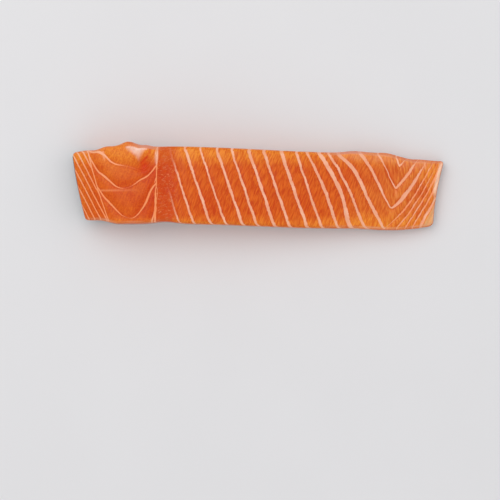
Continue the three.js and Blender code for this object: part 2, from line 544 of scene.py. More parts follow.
@dataclass(frozen=True)
class CellBox:
    """The closed surface of a box of cells, whose cell lines crowd towards its rim."""

    along: int
    across: int
    up: int
    rim_cells: int
    rim_width: float = 2.6

    def share(self, index: Array, cells: int, length: float) -> Array:
        """Return the share of a length at which cell lines lie.

        Args:
            index: Numbers of the cell lines.
            cells: How many cells there are.
            length: The length, in mm.

        Returns:
            Shares from 0 to 1, evenly spaced in the rims and evenly spaced between them.
        """
        rim = self.rim_width / length
        middle = rim + (1.0 - 2.0 * rim) * (index - self.rim_cells) / (cells - 2 * self.rim_cells)
        first = rim * index / self.rim_cells
        last = 1.0 - rim * (cells - index) / self.rim_cells
        return np.where(index < self.rim_cells, first, np.where(index > cells - self.rim_cells, last, middle))

    def surface(self) -> tuple[Array, Array]:
        """Return the cell numbers of the surface's points and its faces.

        Each of the six sides is a grid of quads that face outwards. Points that two sides share
        are merged by their numbers.

        Returns:
            N by 3 cell numbers, and M by 4 point numbers.
        """
        cells = (self.along, self.across, self.up)
        corners = []
        for axis in range(3):
            first, second = (axis + 1) % 3, (axis + 2) % 3
            a, b = np.meshgrid(np.arange(cells[first]), np.arange(cells[second]), indexing="ij")
            a, b = a.ravel(), b.ravel()
            for level in (0, cells[axis]):
                turns = ((0, 0), (1, 0), (1, 1), (0, 1)) if level else ((0, 0), (0, 1), (1, 1), (1, 0))
                quad = np.empty((len(a), 4, 3), dtype=np.int64)
                for n, (step_a, step_b) in enumerate(turns):
                    quad[:, n, axis] = level
                    quad[:, n, first] = a + step_a
                    quad[:, n, second] = b + step_b
                corners.append(quad)
        flat = np.concatenate(corners).reshape(-1, 3)
        key = (flat[:, 0] * (self.across + 1) + flat[:, 1]) * (self.up + 1) + flat[:, 2]
        _, first_seen, inverse = np.unique(key, return_index=True, return_inverse=True)
        return flat[first_seen], inverse.reshape(-1, 4)

    def grid(self, form: PortionForm) -> Grid:
        """Return the surface as shares: along and up from 0 to 1, across from -1 to 1.

        Args:
            form: The portion, whose length and width space the cell lines.

        Returns:
            The shares and the faces.
        """
        numbers, quads = self.surface()
        along = self.share(numbers[:, 0], self.along, form.belly_end.x - form.back_end.x)
        across = self.share(numbers[:, 1], self.across, form.upper_cut.y - form.lower_cut.y)
        return Grid(along, 2.0 * across - 1.0, numbers[:, 2] / self.up, quads)


def surface_pitch(patch: Patch, phase: Array, flattest: float = 0.02) -> Array:
    """Return the distance along a surface between whole numbers of a phase.

    A quad's slope of the phase is found from its change along both diagonals. The size of the slope
    is averaged over the quads round a point, and the distance is one over it.

    Args:
        patch: The surface.
        phase: The phase at each point.
        flattest: Least slope, for each mm.

    Returns:
        A distance for each point, in mm.
    """
    points, quads = patch.points(), patch.quads
    first, second = (points[quads[:, n + 2]] - points[quads[:, n]] for n in (0, 1))
    first_rise, second_rise = ((phase[quads[:, n + 2]] - phase[quads[:, n]])[:, None] for n in (0, 1))
    normal = np.cross(first, second)
    size = np.maximum((normal * normal).sum(axis=1, keepdims=True), SMALLEST)
    slope = (first_rise * np.cross(second, normal) + second_rise * np.cross(normal, first)) / size
    steep = np.repeat(np.linalg.norm(slope, axis=1), 4)
    count = np.bincount(quads.ravel(), minlength=len(points))
    mean = np.bincount(quads.ravel(), steep, minlength=len(points)) / count
    return 1.0 / np.maximum(mean, flattest)


@dataclass(frozen=True)
class Placing:
    """Carries the form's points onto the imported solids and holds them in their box, in mm."""

    shift: Array
    low: Array
    high: Array

    def points(self, patch: Patch) -> Array:
        """Return a surface's points, shifted, then clipped to the box."""
        return np.clip(patch.points() + self.shift, self.low, self.high)


def make_piece(name: str, points: Array, quads: Array, attributes: dict[str, Array]) -> bpy.types.Object:
    """Return a smooth-shaded mesh object with its place in its mesh.

    Args:
        name: Name of the piece.
        points: N by 3 places, in mm.
        quads: M by 4 point numbers.
        attributes: Values for each point, by name.

    Returns:
        The object, linked to the scene.
    """
    mesh = bpy.data.meshes.new(name)
    mesh.vertices.add(len(points))
    mesh.vertices.foreach_set("co", (points * MM).astype(np.float32).ravel())
    mesh.loops.add(quads.size)
    mesh.loops.foreach_set("vertex_index", quads.astype(np.int32).ravel())
    mesh.polygons.add(len(quads))
    mesh.polygons.foreach_set("loop_start", np.arange(0, quads.size, 4, dtype=np.int32))
    mesh.polygons.foreach_set("use_smooth", np.ones(len(quads), dtype=bool))
    mesh.update(calc_edges=True)
    for label, values in attributes.items():
        layer = mesh.attributes.new(label, "FLOAT", "POINT")
        layer.data.foreach_set("value", values.astype(np.float32))
    piece = bpy.data.objects.new(name, mesh)
    bpy.context.scene.collection.objects.link(piece)
    return piece


# Muscle


@dataclass
class Zones:
    """The phase of each zone's sheets, and the distances past the sheets between the zones."""

    band: Array
    loin: Array
    inner: Array
    outer: Array
    belly: Array
    past_band: Array
    past_midline: Array


@dataclass(frozen=True)
class MuscleMap:
    """Where the white sheets between the muscle blocks lie, in mm.

    Each zone has a phase, a smooth value that is a whole number on every sheet. The zones from the
    back end are the band, the loin, the midline seam and the belly. Depth is measured down from
    the top face, and moves each sheet as it does in the fish: as rings round the loin's axis, and
    leaning outwards in the belly.
    """

    band_edge: tuple[float, float, float] = (-84.25, 16.0, 0.305)
    band_edge_length: float = 33.0
    band_edge_bow: float = 0.6
    band_edge_depth: float = 0.6
    midline: tuple[float, float] = (-50.4, 0.035)
    midline_depth: float = 0.12

    band_slope: float = 1.9
    band_level: float = 153.7
    band_pitch: float = 5.55
    band_depth: float = 0.8

    loin_start: float = -85.25
    loin_step: float = 2.955
    loin_sheets: tuple[Row, ...] = (
        (31.0, 30.0, 28.5, 26.8, 24.8, 23.0, 21.6, 20.8, 20.6, 20.8, 21.6, 23.6, 27.0),
        (18.2, 17.1, 17.2, 15.8, 12.9, 11.2, 10.6, 10.0, 9.2, 8.6, 9.4, 12.2, 16.0),
        (17.6, 12.0, 7.5, 5.2, 2.5, 0.2, -0.9, -0.5, 1.0, 3.1, 4.9, 7.2, 10.4),
        (9.5, 4.2, -0.8, -5.3, -8.2, -11.4, -14.2, -15.5, -15.4, -12.8, -8.3, -1.7, 1.7),
        (-2.0, -8.0, -14.0, -19.0, -23.0, -26.5, -29.5, -31.0, -30.5, -28.0, -25.5, -17.9, -9.5),
    )
    loin_axis: float = -66.5
    loin_axis_depth: float = 7.0
    loin_ring_rise: float = 0.18
    loin_ring_width: float = 0.007

    belly_start: float = -26.0
    belly_step: float = 6.0
    belly_sheets: tuple[Row, ...] = (
        (89.7, 86.7, 83.7, 80.7, 77.6, 74.0, 70.8, 68.6, 66.5),
        (81.6, 78.6, 75.6, 72.5, 69.3, 66.2, 63.9, 59.9, 54.5),
        (73.3, 70.7, 67.6, 64.6, 61.7, 59.2, 55.9, 51.4, 44.2),
        (65.3, 62.2, 59.3, 56.0, 53.2, 50.5, 46.7, 40.2, 34.0),
        (56.0, 53.1, 50.4, 48.3, 45.7, 42.6, 39.4, 35.2, 30.5),
        (49.2, 46.0, 44.2, 43.1, 41.2, 38.2, 34.8, 30.6, 26.4),
        (41.8, 39.6, 37.6, 35.8, 33.6, 31.0, 28.3, 24.8, 21.2),
    )
    belly_rest: Row = (25.5, 18.2, 9.6, 2.2, -6.4, -13.6, -21.9, -29.3, -37.6, -45.0, -53.0)
    belly_rest_lean: float = 0.34
    belly_rest_from: float = -2.0
    belly_depth: float = 1.25
    belly_axis: float = 66.75
    belly_slope: float = 0.9
    belly_bend: float = 0.026
    belly_reach: float = 12.0
    belly_levels: Row = (14.5, 5.5, -3.1, -11.7, -18.5, -23.4, -27.9, -32.6, -38.2, -44.0, -50.0)
    no_arm: float = -9.0
    sharp_tip: float = 0.05
    blunt_tip: float = 0.22
    blunt_from: Span = (1.2, 1.8)
    blunt_to: Span = (2.2, 2.8)

    def past_band(self, x: Array, y: Array, depth: Array | float) -> Array:
        """Return the distance past the sheet that closes the band, a leaning line with a bow of half a sine.

        Args:
            x: Points, in mm.
            y: Points, in mm.
            depth: Depth below the top face, in mm.

        Returns:
            Distances along x in mm, negative in the band.
        """
        at_x, at_y, lean = self.band_edge
        way = np.clip((at_y - y) / self.band_edge_length, 0.0, 1.0)
        bow = self.band_edge_bow * np.sin(math.pi * way)
        return x - (at_x + lean * (at_y - y) - bow - self.band_edge_depth * depth)

    def past_midline(self, x: Array, y: Array, depth: Array | float) -> Array:
        """Return the distance past the midline sheet, positive in the belly."""
        return x - (self.midline[0] + self.midline[1] * y + self.midline_depth * depth)

    def band_phase(self, x: Array, y: Array, depth: Array | float) -> Array:
        """Return the band's phase: straight parallel sheets."""
        return -(self.band_level + y + self.band_slope * (x + self.band_depth * depth)) / self.band_pitch

    def loin_phase(self, x: Array, y: Array, depth: Array | float) -> Array:
        """Return the loin's phase, read between curves, with rings round its axis below the top.

        Args:
            x: Points, in mm.
            y: Points, in mm.
            depth: Depth below the top face, in mm.

        Returns:
            The phase.
        """
        below = (depth - self.loin_axis_depth) ** 2 - self.loin_axis_depth**2
        out = self.loin_ring_width * np.minimum(depth, 2 * self.loin_axis_depth) * (x - self.loin_axis) ** 2
        curves = [smooth_curve(x, self.loin_start, self.loin_step, row) for row in self.loin_sheets]
        return phase_between(curves, y - self.loin_ring_rise * below - out) - 1.0

    def belly_arms(self, x: Array, y: Array, depth: Array | float) -> tuple[Array, Array]:
        """Return the phases of the belly's two sets of arms.

        The arms towards the midline are curves, which further on become straight. The arms towards
        the belly edge are parabolas, read between their levels.

        Args:
            x: Points, in mm.
            y: Points, in mm.
            depth: Depth below the top face, in mm.

        Returns:
            Phase of the arms towards the midline, and of those towards the edge.
        """
        seen = x - self.belly_depth * depth
        lean = self.belly_rest_lean * (self.belly_rest_from - y)
        curves = [smooth_curve(y, self.belly_start, self.belly_step, row) for row in self.belly_sheets]
        curves += [at + lean for at in self.belly_rest]
        past = seen - self.belly_axis
        level = y - self.belly_slope * past - self.belly_bend * past * np.maximum(past, -self.belly_reach)
        order = np.arange(len(self.belly_levels)) - 1.0
        outer = np.interp(-level, -np.array(self.belly_levels), order)
        return phase_between(curves, seen), np.where(past > -self.belly_reach, outer, self.no_arm)

    def belly_phase(self, inner: Array, outer: Array) -> Array:
        """Return the belly's phase: nested V shapes, the larger of the two arms, rounded where they meet.

        The rounding is that of a hyperbola: half the sum and half the root of the squared difference
        and the squared width.

        Args:
            inner: Phase of the arms towards the midline.
            outer: Phase of the arms towards the edge.

        Returns:
            The phase.
        """
        larger = np.maximum(inner, outer)
        blunt = window(larger, self.blunt_from, self.blunt_to)
        width = self.sharp_tip + (self.blunt_tip - self.sharp_tip) * blunt
        return 0.5 * (inner + outer + np.hypot(inner - outer, width))

    def zones(self, x: Array, y: Array, depth: Array | float) -> Zones:
        """Return what every zone says of points at a depth below the top face.

        Args:
            x: Points, in mm.
            y: Points, in mm.
            depth: Depth below the top face, in mm.

        Returns:
            The phases and the distances past the zones' edges.
        """
        place = (x, y, depth)
        inner, outer = self.belly_arms(*place)
        belly = self.belly_phase(inner, outer)
        edges = (self.past_band(*place), self.past_midline(*place))
        return Zones(self.band_phase(*place), self.loin_phase(*place), inner, outer, belly, *edges)


# Materials


def srgb(red: int, green: int, blue: int) -> Colour:
    """Return linear values of an sRGB colour by the standard's power of 2.4."""
    shares = (channel / 255.0 for channel in (red, green, blue))
    return tuple(c / 12.92 if c <= 0.04045 else ((c + 0.055) / 1.055) ** 2.4 for c in shares)


@dataclass(frozen=True)
class Noise:
    """A shader noise: the size of its cells along x, y and z, in mm, and its finer octaves."""

    cell: Cell
    detail: float = 2.0
    rough: float = 0.5


class NodePen:
    """Draws a material's nodes and links them."""

    def __init__(self, name: str) -> None:
        """Start an empty material with an output.

        Args:
            name: Name of the material.
        """
        self.material = bpy.data.materials.new(name)
        self.material.use_nodes = True
        self.tree = self.material.node_tree
        self.tree.nodes.clear()
        self.output = self.tree.nodes.new("ShaderNodeOutputMaterial")

    def node(self, kind: str, inputs: dict[str | int, object], **settings: object) -> bpy.types.Node:
        """Add a node.

        Args:
            kind: The node's type.
            inputs: Values or sockets, by the name or number of the input.
            **settings: Properties of the node.

        Returns:
            The node.
        """
        made = self.tree.nodes.new(kind)
        for label, value in settings.items():
            setattr(made, label, value)
        for label, value in inputs.items():
            self.plug(made.inputs[label], value)
        return made

    def plug(self, socket: Socket, value: object) -> None:
        """Link a socket into an input, or set its value.

        Args:
            socket: The input.
            value: Another node's output, a number, or a colour of three numbers.
        """
        if isinstance(value, bpy.types.NodeSocket):
            self.tree.links.new(value, socket)
        elif isinstance(value, tuple) and socket.type == "RGBA":
            socket.default_value = (*value, 1.0)
        else:
            socket.default_value = value

    def attribute(self, name: str) -> Socket:
        """Return a point attribute's value."""
        return self.node("ShaderNodeAttribute", {}, attribute_name=name).outputs["Fac"]

    def math(self, operation: str, *values: Value) -> Socket:
        """Return values joined by one operation, in order.

        Args:
            operation: The Math node's operation.
            *values: Two or more values, or one for an operation on a single value.

        Returns:
            The result.
        """
        if len(values) == 1:
            return self.node("ShaderNodeMath", {0: values[0]}, operation=operation).outputs[0]
        total = values[0]
        for value in values[1:]:
            total = self.node("ShaderNodeMath", {0: total, 1: value}, operation=operation).outputs[0]
        return total

    def product(self, *values: Value) -> Socket:
        """Return the product of several values."""
        return self.math("MULTIPLY", *values)

    def total(self, *values: Value) -> Socket:
        """Return the sum of several values."""
        return self.math("ADD", *values)

    def largest(self, *values: Value) -> Socket:
        """Return the largest of several values."""
        return self.math("MAXIMUM", *values)

    def offset(self, value: Socket, size: float) -> Socket:
        """Return a noise value carried from round 0.5 to round 0, and scaled."""
        return self.product(self.math("SUBTRACT", value, 0.5), size)

    def fade(self, value: Value, start: Value, end: Value) -> Socket:
        """Return 0 at start and 1 at end, with a smooth step between."""
        inputs = {"Value": value, "From Min": start, "From Max": end}
        return self.node("ShaderNodeMapRange", inputs, interpolation_type="SMOOTHSTEP").outputs["Result"]

    def within(self, gap: Socket, half: Value, soft: float) -> Socket:
        """Return 1 where a gap is under half a width, with an edge that is soft to both sides."""
        return self.fade(gap, self.total(half, soft), self.math("SUBTRACT", half, soft))

    def span(self, value: Value, start: float, end: float, low: float, high: float) -> Socket:
        """Return a value carried evenly from one range to another, and clamped."""
        inputs = {"Value": value, "From Min": start, "From Max": end, "To Min": low, "To Max": high}
        return self.node("ShaderNodeMapRange", inputs).outputs["Result"]

    def blend(self, factor: Value, first: Value, second: Value) -> Socket:
        """Return two values mixed."""
        return self.node("ShaderNodeMix", {0: factor, 2: first, 3: second}).outputs[0]

    def mix(self, factor: Value, first: object, second: object, blend: str = "MIX") -> Socket:
        """Return two colours mixed by a factor, the share of the second, in a blend mode."""
        settings = {"data_type": "RGBA", "blend_type": blend, "clamp_factor": True}
        return self.node("ShaderNodeMix", {"Factor": factor, 6: first, 7: second}, **settings).outputs[2]

    def coats(self, base: object, *coats: tuple[Value, object]) -> Socket:
        """Return a colour with others laid over it in order, each by its own mask.

        Args:
            base: The colour below.
            coats: Pairs of a mask and a colour.

        Returns:
            The covered colour.
        """
        for mask, colour in coats:
            base = self.mix(mask, base, colour)
        return base

    def tinted(self, colour: object, *shares: Socket) -> Socket:
        """Return a colour times a share for each channel, or times one share for all three.

        Args:
            colour: A colour or a socket.
            shares: Three shares, or one.

        Returns:
            The tinted colour.
        """
        channels = shares if len(shares) == 3 else shares * 3
        tint = self.node("ShaderNodeCombineColor", dict(enumerate(channels))).outputs[0]
        return self.mix(1.0, colour, tint, "MULTIPLY")

    def noise(self, noise: Noise, turn: float = 0.0) -> Socket:
        """Return noise on Object coordinates.

        Args:
            noise: What the noise is like.
            turn: Turn round z before the stretch to the cells' sizes, in degrees.

        Returns:
            Values round 0.5.
        """
        point = self.node("ShaderNodeTexCoord", {}).outputs["Object"]
        angle = {"Vector": point, "Angle": math.radians(turn)}
        turned = self.node("ShaderNodeVectorRotate", angle, rotation_type="Z_AXIS").outputs[0]
        scale = tuple(1.0 / (size * MM) for size in noise.cell)
        place = self.node("ShaderNodeMapping", {"Vector": turned, "Scale": scale}).outputs[0]
        inputs = {"Vector": place, "Scale": 1.0, "Detail": noise.detail, "Roughness": noise.rough}
        return self.node("ShaderNodeTexNoise", inputs).outputs["Fac"]

    def bump(self, height: Socket, distance: float, *normal: Socket) -> Socket:
        """Return a normal tilted by a height.

        Args:
            height: Height, from 0 to about 1.
            distance: What 1 stands for, in mm.
            *normal: Normal to start from, if it isn't the surface's own.

        Returns:
            The normal.
        """
        inputs = {"Height": height, "Distance": distance * MM, "Strength": 1.0}
        inputs.update(("Normal", start) for start in normal)
        return self.node("ShaderNodeBump", inputs).outputs["Normal"]

    def surface(self, **inputs: object) -> bpy.types.Material:
        """Finish the material with a Principled surface.

        Args:
            **inputs: Values or sockets, with an underscore for each space of the input's name.

        Returns:
            The material.
        """
        named = {label.replace("_", " "): value for label, value in inputs.items()}
        shader = self.node("ShaderNodeBsdfPrincipled", named)
        self.tree.links.new(shader.outputs[0], self.output.inputs["Surface"])
        return self.material


@dataclass
class Grain:
    """The flesh's noises."""

    fibre: Socket
    strand: Socket
    wander: Socket
    cloud: Socket
    speck: Socket
    fleck: Socket


@dataclass
class WhiteLines:
    """The flesh's white lines as masks, the painted shade beside them with the deeper strip by the midline,
    and the distance past the midline.
    """

    broad: Socket
    fine: Socket
    # Painted shade beside the white sheets, and the deeper loin by the midline.
    beside: Socket
    in_belly: Socket
    past_midline: Socket


@dataclass(frozen=True)
class FleshFinish:
    """Raw salmon: orange muscle with pale sheets of fat, moist all over. Lengths are in mm."""

    deep: Colour = srgb(200, 60, 4)
    blood_red: Colour = srgb(208, 56, 0)
    loin: Colour = srgb(211, 88, 16)
    belly: Colour = srgb(217, 111, 40)
    # Painted glow where light comes through the flesh near its edges and ends.
    painted_glow: Colour = srgb(229, 127, 36)
    cut_face: Colour = srgb(226, 120, 80)
    fat: Colour = srgb(236, 168, 134)
    fine_fat: Colour = srgb(242, 151, 96)
    # Pale sinew, which also stands for a painted highlight on the fold near the upper cut.
    sinew_and_highlight: Colour = srgb(242, 205, 190)
    lining: Colour = srgb(248, 200, 170)
    thin_flap: Colour = srgb(228, 170, 112)
    rim_pink: Colour = srgb(214, 140, 118)
    dark_muscle: Colour = srgb(144, 66, 36)
    under_fat: Colour = srgb(190, 144, 122)

    fibre: Noise = Noise((0.68, 5.5, 0.7), 3.0, 0.6)
    strand: Noise = Noise((0.38, 3.6, 0.5))
    fleck: Noise = Noise((1.9, 0.75, 1.2), 3.0, 0.6)
    wander: Noise = Noise((6.0, 6.0, 6.0))
    cloud: Noise = Noise((13.0, 10.0, 9.0))
    speck: Noise = Noise((0.9, 0.9, 0.9), 3.0, 0.65)
    fibre_turns: Span = (20.0, -4.0)
    fleck_turns: Span = (14.0, -24.0)
    turning: Span = (105.0, 122.0)
    fleck_edge: Span = (0.55, 0.72)

    wander_way: float = 1.3
    jag_way: float = 0.9
    gentle_share: float = 0.45
    midline_way: float = 1.4
    zone_soft: float = 0.15
    midline_soft: float = 0.1
    line_soft: float = 0.15
    broad_soft: float = 0.16
    band_half: float = 0.34
    band_edge_half: float = 0.28
    side_seam_half: float = 0.16
    side_seam_way: float = 5.0
    belly_from: Span = (5.0, 13.0)
    beside_midline: Span = (-9.0, -2.0)
    # Painted shade of the flake steps beside the sheets of the belly, the loin and the band.
    shade_halves: tuple[Span, ...] = ((1.3, 0.9), (0.9, 0.7), (0.7, 0.5))
    shade_shares: Row = (0.36, 0.5, 0.65)
    midline_share: float = 0.75

    loin_to_belly: Span = (85.0, 130.0)
    cloud_range: Span = (0.45, 0.75)
    cloud_shares: Span = (0.8, 0.45)
    cut_share: float = 0.5
    stripe_shares: Span = (0.72, 0.28)
    smooth_strip: Span = (-3.0, 12.0)
    strip_speck: float = 0.45
    strip_stripe: float = 0.8
    cut_stripe: float = 0.4
    stripe_range: Span = (0.4, 0.6)
    tints: tuple[Span, ...] = ((0.86, 1.11), (0.6, 1.44), (0.4, 1.8))

    torn_share: float = 0.6
    fleck_share: float = 0.5
    fine_share: float = 0.9
    warm_fat_share: float = 0.7
    broad_share: float = 0.95
    lining_range: Span = (0.45, 0.65)
    lining_share: float = 0.5
    streak_range: Span = (0.3, 0.7)
    dapple_range: Span = (0.35, 0.65)
    pale_shares: Span = (0.75, 1.1)
    dark_way: float = 2.0
    dark_edge: Span = (1.05, 0.6)
    dark_share: float = 0.9
    skin_fat_way: float = 0.8
    skin_fat_edge: Span = (1.5, 0.6)
    skin_fat_share: float = 0.8

    height_shares: Span = (0.6, 0.4)
    fibre_bump: float = 0.09
    line_bump: float = 0.05
    fleck_bump: float = 0.12
    wet_range: Span = (0.3, 0.7)
    wet_shares: Span = (0.32, 0.48)

    def grain(self, pen: NodePen) -> Grain:
        """Return the noises: fibres that turn towards the belly edge, strands, clouds and flecks.

        Args:
            pen: The material's pen.

        Returns:
            The noises' sockets.
        """
        near_edge = pen.fade(pen.attribute("past_midline"), *self.turning)
        fibre, strand = (
            pen.blend(near_edge, *(pen.noise(noise, turn) for turn in self.fibre_turns))
            for noise in (self.fibre, self.strand)
        )
        flecks = (pen.noise(self.fleck, turn) for turn in self.fleck_turns)
        fleck = pen.fade(pen.largest(*flecks), *self.fleck_edge)
        return Grain(fibre, strand, *(pen.noise(n) for n in (self.wander, self.cloud, self.speck)), fleck)

    def lines(self, pen: NodePen, grain: Grain) -> WhiteLines:
        """Return the white lines.

        A sheet shows where its zone's phase, made uneven by the noises, is within half a width of a
        whole number, and a seam where the distance from it is. Beside the sheets the shade of the flake
        steps is painted darker, and the loin is deeper towards the midline.

        Args:
            pen: The material's pen.
            grain: The flesh's noises.

        Returns:
            The lines, as masks.
        """
        read = pen.attribute
        wiggle = pen.total(pen.offset(grain.wander, self.wander_way), pen.offset(grain.fibre, self.jag_way))
        gentle = pen.product(wiggle, self.gentle_share)
        past_band = pen.total(read("past_band"), gentle)
        past_midline = pen.total(read("past_midline"), pen.product(gentle, self.midline_way))
        in_belly = pen.fade(past_midline, *self.belly_from)
        off_band = pen.fade(past_band, -self.zone_soft, self.zone_soft)
        in_loin = pen.product(off_band, pen.fade(past_midline, self.midline_soft, -self.midline_soft))
        in_band = pen.fade(past_band, self.zone_soft, -self.zone_soft)
        zones = (
            ("belly", wiggle, in_belly, read("belly_half"), self.broad_soft),
            ("loin", gentle, in_loin, read("loin_half"), self.broad_soft),
            ("band", gentle, in_band, self.band_half, self.line_soft),
        )
        sheets = []
        # The deeper loin by the midline; painted shade beside each zone's sheets is added below.
        deep_and_shade_parts = [pen.product(pen.fade(past_midline, *self.beside_midline), in_loin, self.midline_share)]
        for n, (zone, uneven, inside, half, soft) in enumerate(zones):
            pitch = read(zone + "_pitch")
            phase = pen.total(read(zone + "_phase"), pen.math("DIVIDE", uneven, pitch))
            off = pen.math("ABSOLUTE", pen.math("SUBTRACT", phase, pen.math("ROUND", phase)))
            gap = pen.product(off, pitch)
            sheets.append(pen.product(pen.within(gap, half, soft), inside))
            # Painted shade of the flake steps beside the sheets.
            shaded = pen.within(gap, *self.shade_halves[n])
            deep_and_shade_parts.append(pen.product(shaded, inside, self.shade_shares[n]))
        side_seam = pen.math("SUBTRACT", past_midline, pen.offset(grain.wander, self.side_seam_way))
        seams = (
            (past_band, self.band_edge_half),
            (past_midline, read("midline_half")),
            (side_seam, self.side_seam_half),
        )
        seam_masks = (pen.within(pen.math("ABSOLUTE", past), half, self.line_soft) for past, half in seams)
        fine = pen.largest(*sheets[1:], *seam_masks, read("spurs"))
        return WhiteLines(sheets[0], fine, pen.largest(*deep_and_shade_parts), in_belly, past_midline)

    def muscle(self, pen: NodePen, grain: Grain, lines: WhiteLines) -> Socket:
        """Return the muscle's colour between the white lines.

        It goes from the loin's red to the belly's orange, with deeper clouds, painted shade beside the
        white lines and a painted glow near the edges, and is striped by its fibres. Beside the midline it
        is smooth and specked instead.

        Args:
            pen: The material's pen.
            grain: The flesh's noises.
            lines: The white lines.

        Returns:
            The colour.
        """
        read = pen.attribute
        on_top = read("on_top")
        cloudy = pen.span(grain.cloud, *self.cloud_range, 0.0, 1.0)
        colour = pen.coats(
            self.loin,
            (pen.fade(lines.past_midline, *self.loin_to_belly), self.belly),
            (pen.product(cloudy, pen.span(lines.in_belly, 0.0, 1.0, *self.cloud_shares)), self.deep),
            # Painted shade beside the white lines, and the deeper loin by the midline.
            (lines.beside, self.deep),
            # Painted glow where light comes through near the edges and ends.
            (read("painted_glow"), self.painted_glow),
            (read("hollow"), self.blood_red),
            (pen.span(on_top, 0.0, 1.0, self.cut_share, 0.0), self.cut_face),
        )
        stripe = self.fibres(pen, grain, self.stripe_shares)
        speckled = pen.span(lines.past_midline, *self.smooth_strip, self.strip_speck, 0.0)
        stripe = pen.blend(speckled, stripe, grain.speck)
        tinted = pen.tinted(colour, *(pen.span(stripe, *self.stripe_range, *ends) for ends in self.tints))
        striped = pen.span(lines.past_midline, *self.smooth_strip, self.strip_stripe, 1.0)
        striped = pen.product(striped, pen.span(on_top, 0.0, 1.0, self.cut_stripe, 1.0))
        return pen.mix(striped, colour, tinted)

    def fibres(self, pen: NodePen, grain: Grain, shares: Span) -> Socket:
        """Return the sum of shares of the fibres and of the strands in them."""
        return pen.total(pen.product(grain.fibre, shares[0]), pen.product(grain.strand, shares[1]))

    def material(self) -> bpy.types.Material:
        """Return the material: muscle, then white lines, the sinew with its painted highlight, pale and pink
        edges, and what lies by the skin.
        """
        pen = NodePen("raw_salmon_flesh")
        read, grain = pen.attribute, self.grain(pen)
        lines = self.lines(pen, grain)
        ragged = pen.product(read("rough"), grain.fleck)
        broad_fat = pen.coats(
            self.fine_fat,
            (read("pale"), self.fat),
            (pen.span(grain.wander, *self.lining_range, 0.0, self.lining_share), self.lining),
        )
        # The white lines are painted paler in the painted glow.
        glow_lit_fat = pen.mix(pen.product(read("painted_glow"), self.warm_fat_share), self.fine_fat, self.lining)
        streaked = pen.span(grain.fibre, *self.streak_range, *self.pale_shares)
        dappled = pen.span(grain.speck, *self.dapple_range, *self.pale_shares)
        torn = pen.total(pen.offset(grain.wander, self.dark_way), pen.offset(grain.fibre, self.dark_way))
        dark_rise = pen.math("DIVIDE", pen.total(read("above_skin"), torn), read("dark_height"))
        fat_rise = pen.total(read("above_skin"), pen.offset(grain.speck, self.skin_fat_way))
        colour = pen.coats(
            self.muscle(pen, grain, lines),
            (pen.product(read("rough"), self.torn_share), self.deep),
            (pen.product(ragged, self.fleck_share), self.fine_fat),
            (pen.product(lines.fine, self.fine_share), glow_lit_fat),
            (pen.product(lines.broad, self.broad_share), broad_fat),
            # Pale sinew, which also stands for a painted highlight.
            (pen.product(read("silver"), streaked), self.sinew_and_highlight),
            (read("thin_flap"), self.thin_flap),
            (read("fringe"), self.fat),
            (pen.product(read("belly_edge"), dappled), self.lining),
            (read("rim_pink"), self.rim_pink),
            (pen.product(pen.fade(dark_rise, *self.dark_edge), self.dark_share), self.dark_muscle),
            (pen.product(pen.fade(fat_rise, *self.skin_fat_edge), self.skin_fat_share), self.under_fat),
        )
        height = self.fibres(pen, grain, self.height_shares)
        height = pen.product(height, pen.span(read("on_top"), 0.0, 1.0, self.cut_stripe, 1.0))
        normal = pen.bump(height, self.fibre_bump)
        normal = pen.bump(pen.largest(lines.broad, lines.fine), self.line_bump, normal)
        return pen.surface(
            Base_Color=colour,
            Roughness=pen.span(grain.speck, *self.wet_range, *self.wet_shares),
            Normal=pen.bump(ragged, self.fleck_bump, normal),
            IOR=1.36,
            Specular_IOR_Level=0.2,
            Subsurface_Weight=0.18,
            Subsurface_Radius=(1.0, 0.4, 0.2),
            Subsurface_Scale=0.0016,
            Coat_Weight=0.08,
            Coat_Roughness=0.14,
        )


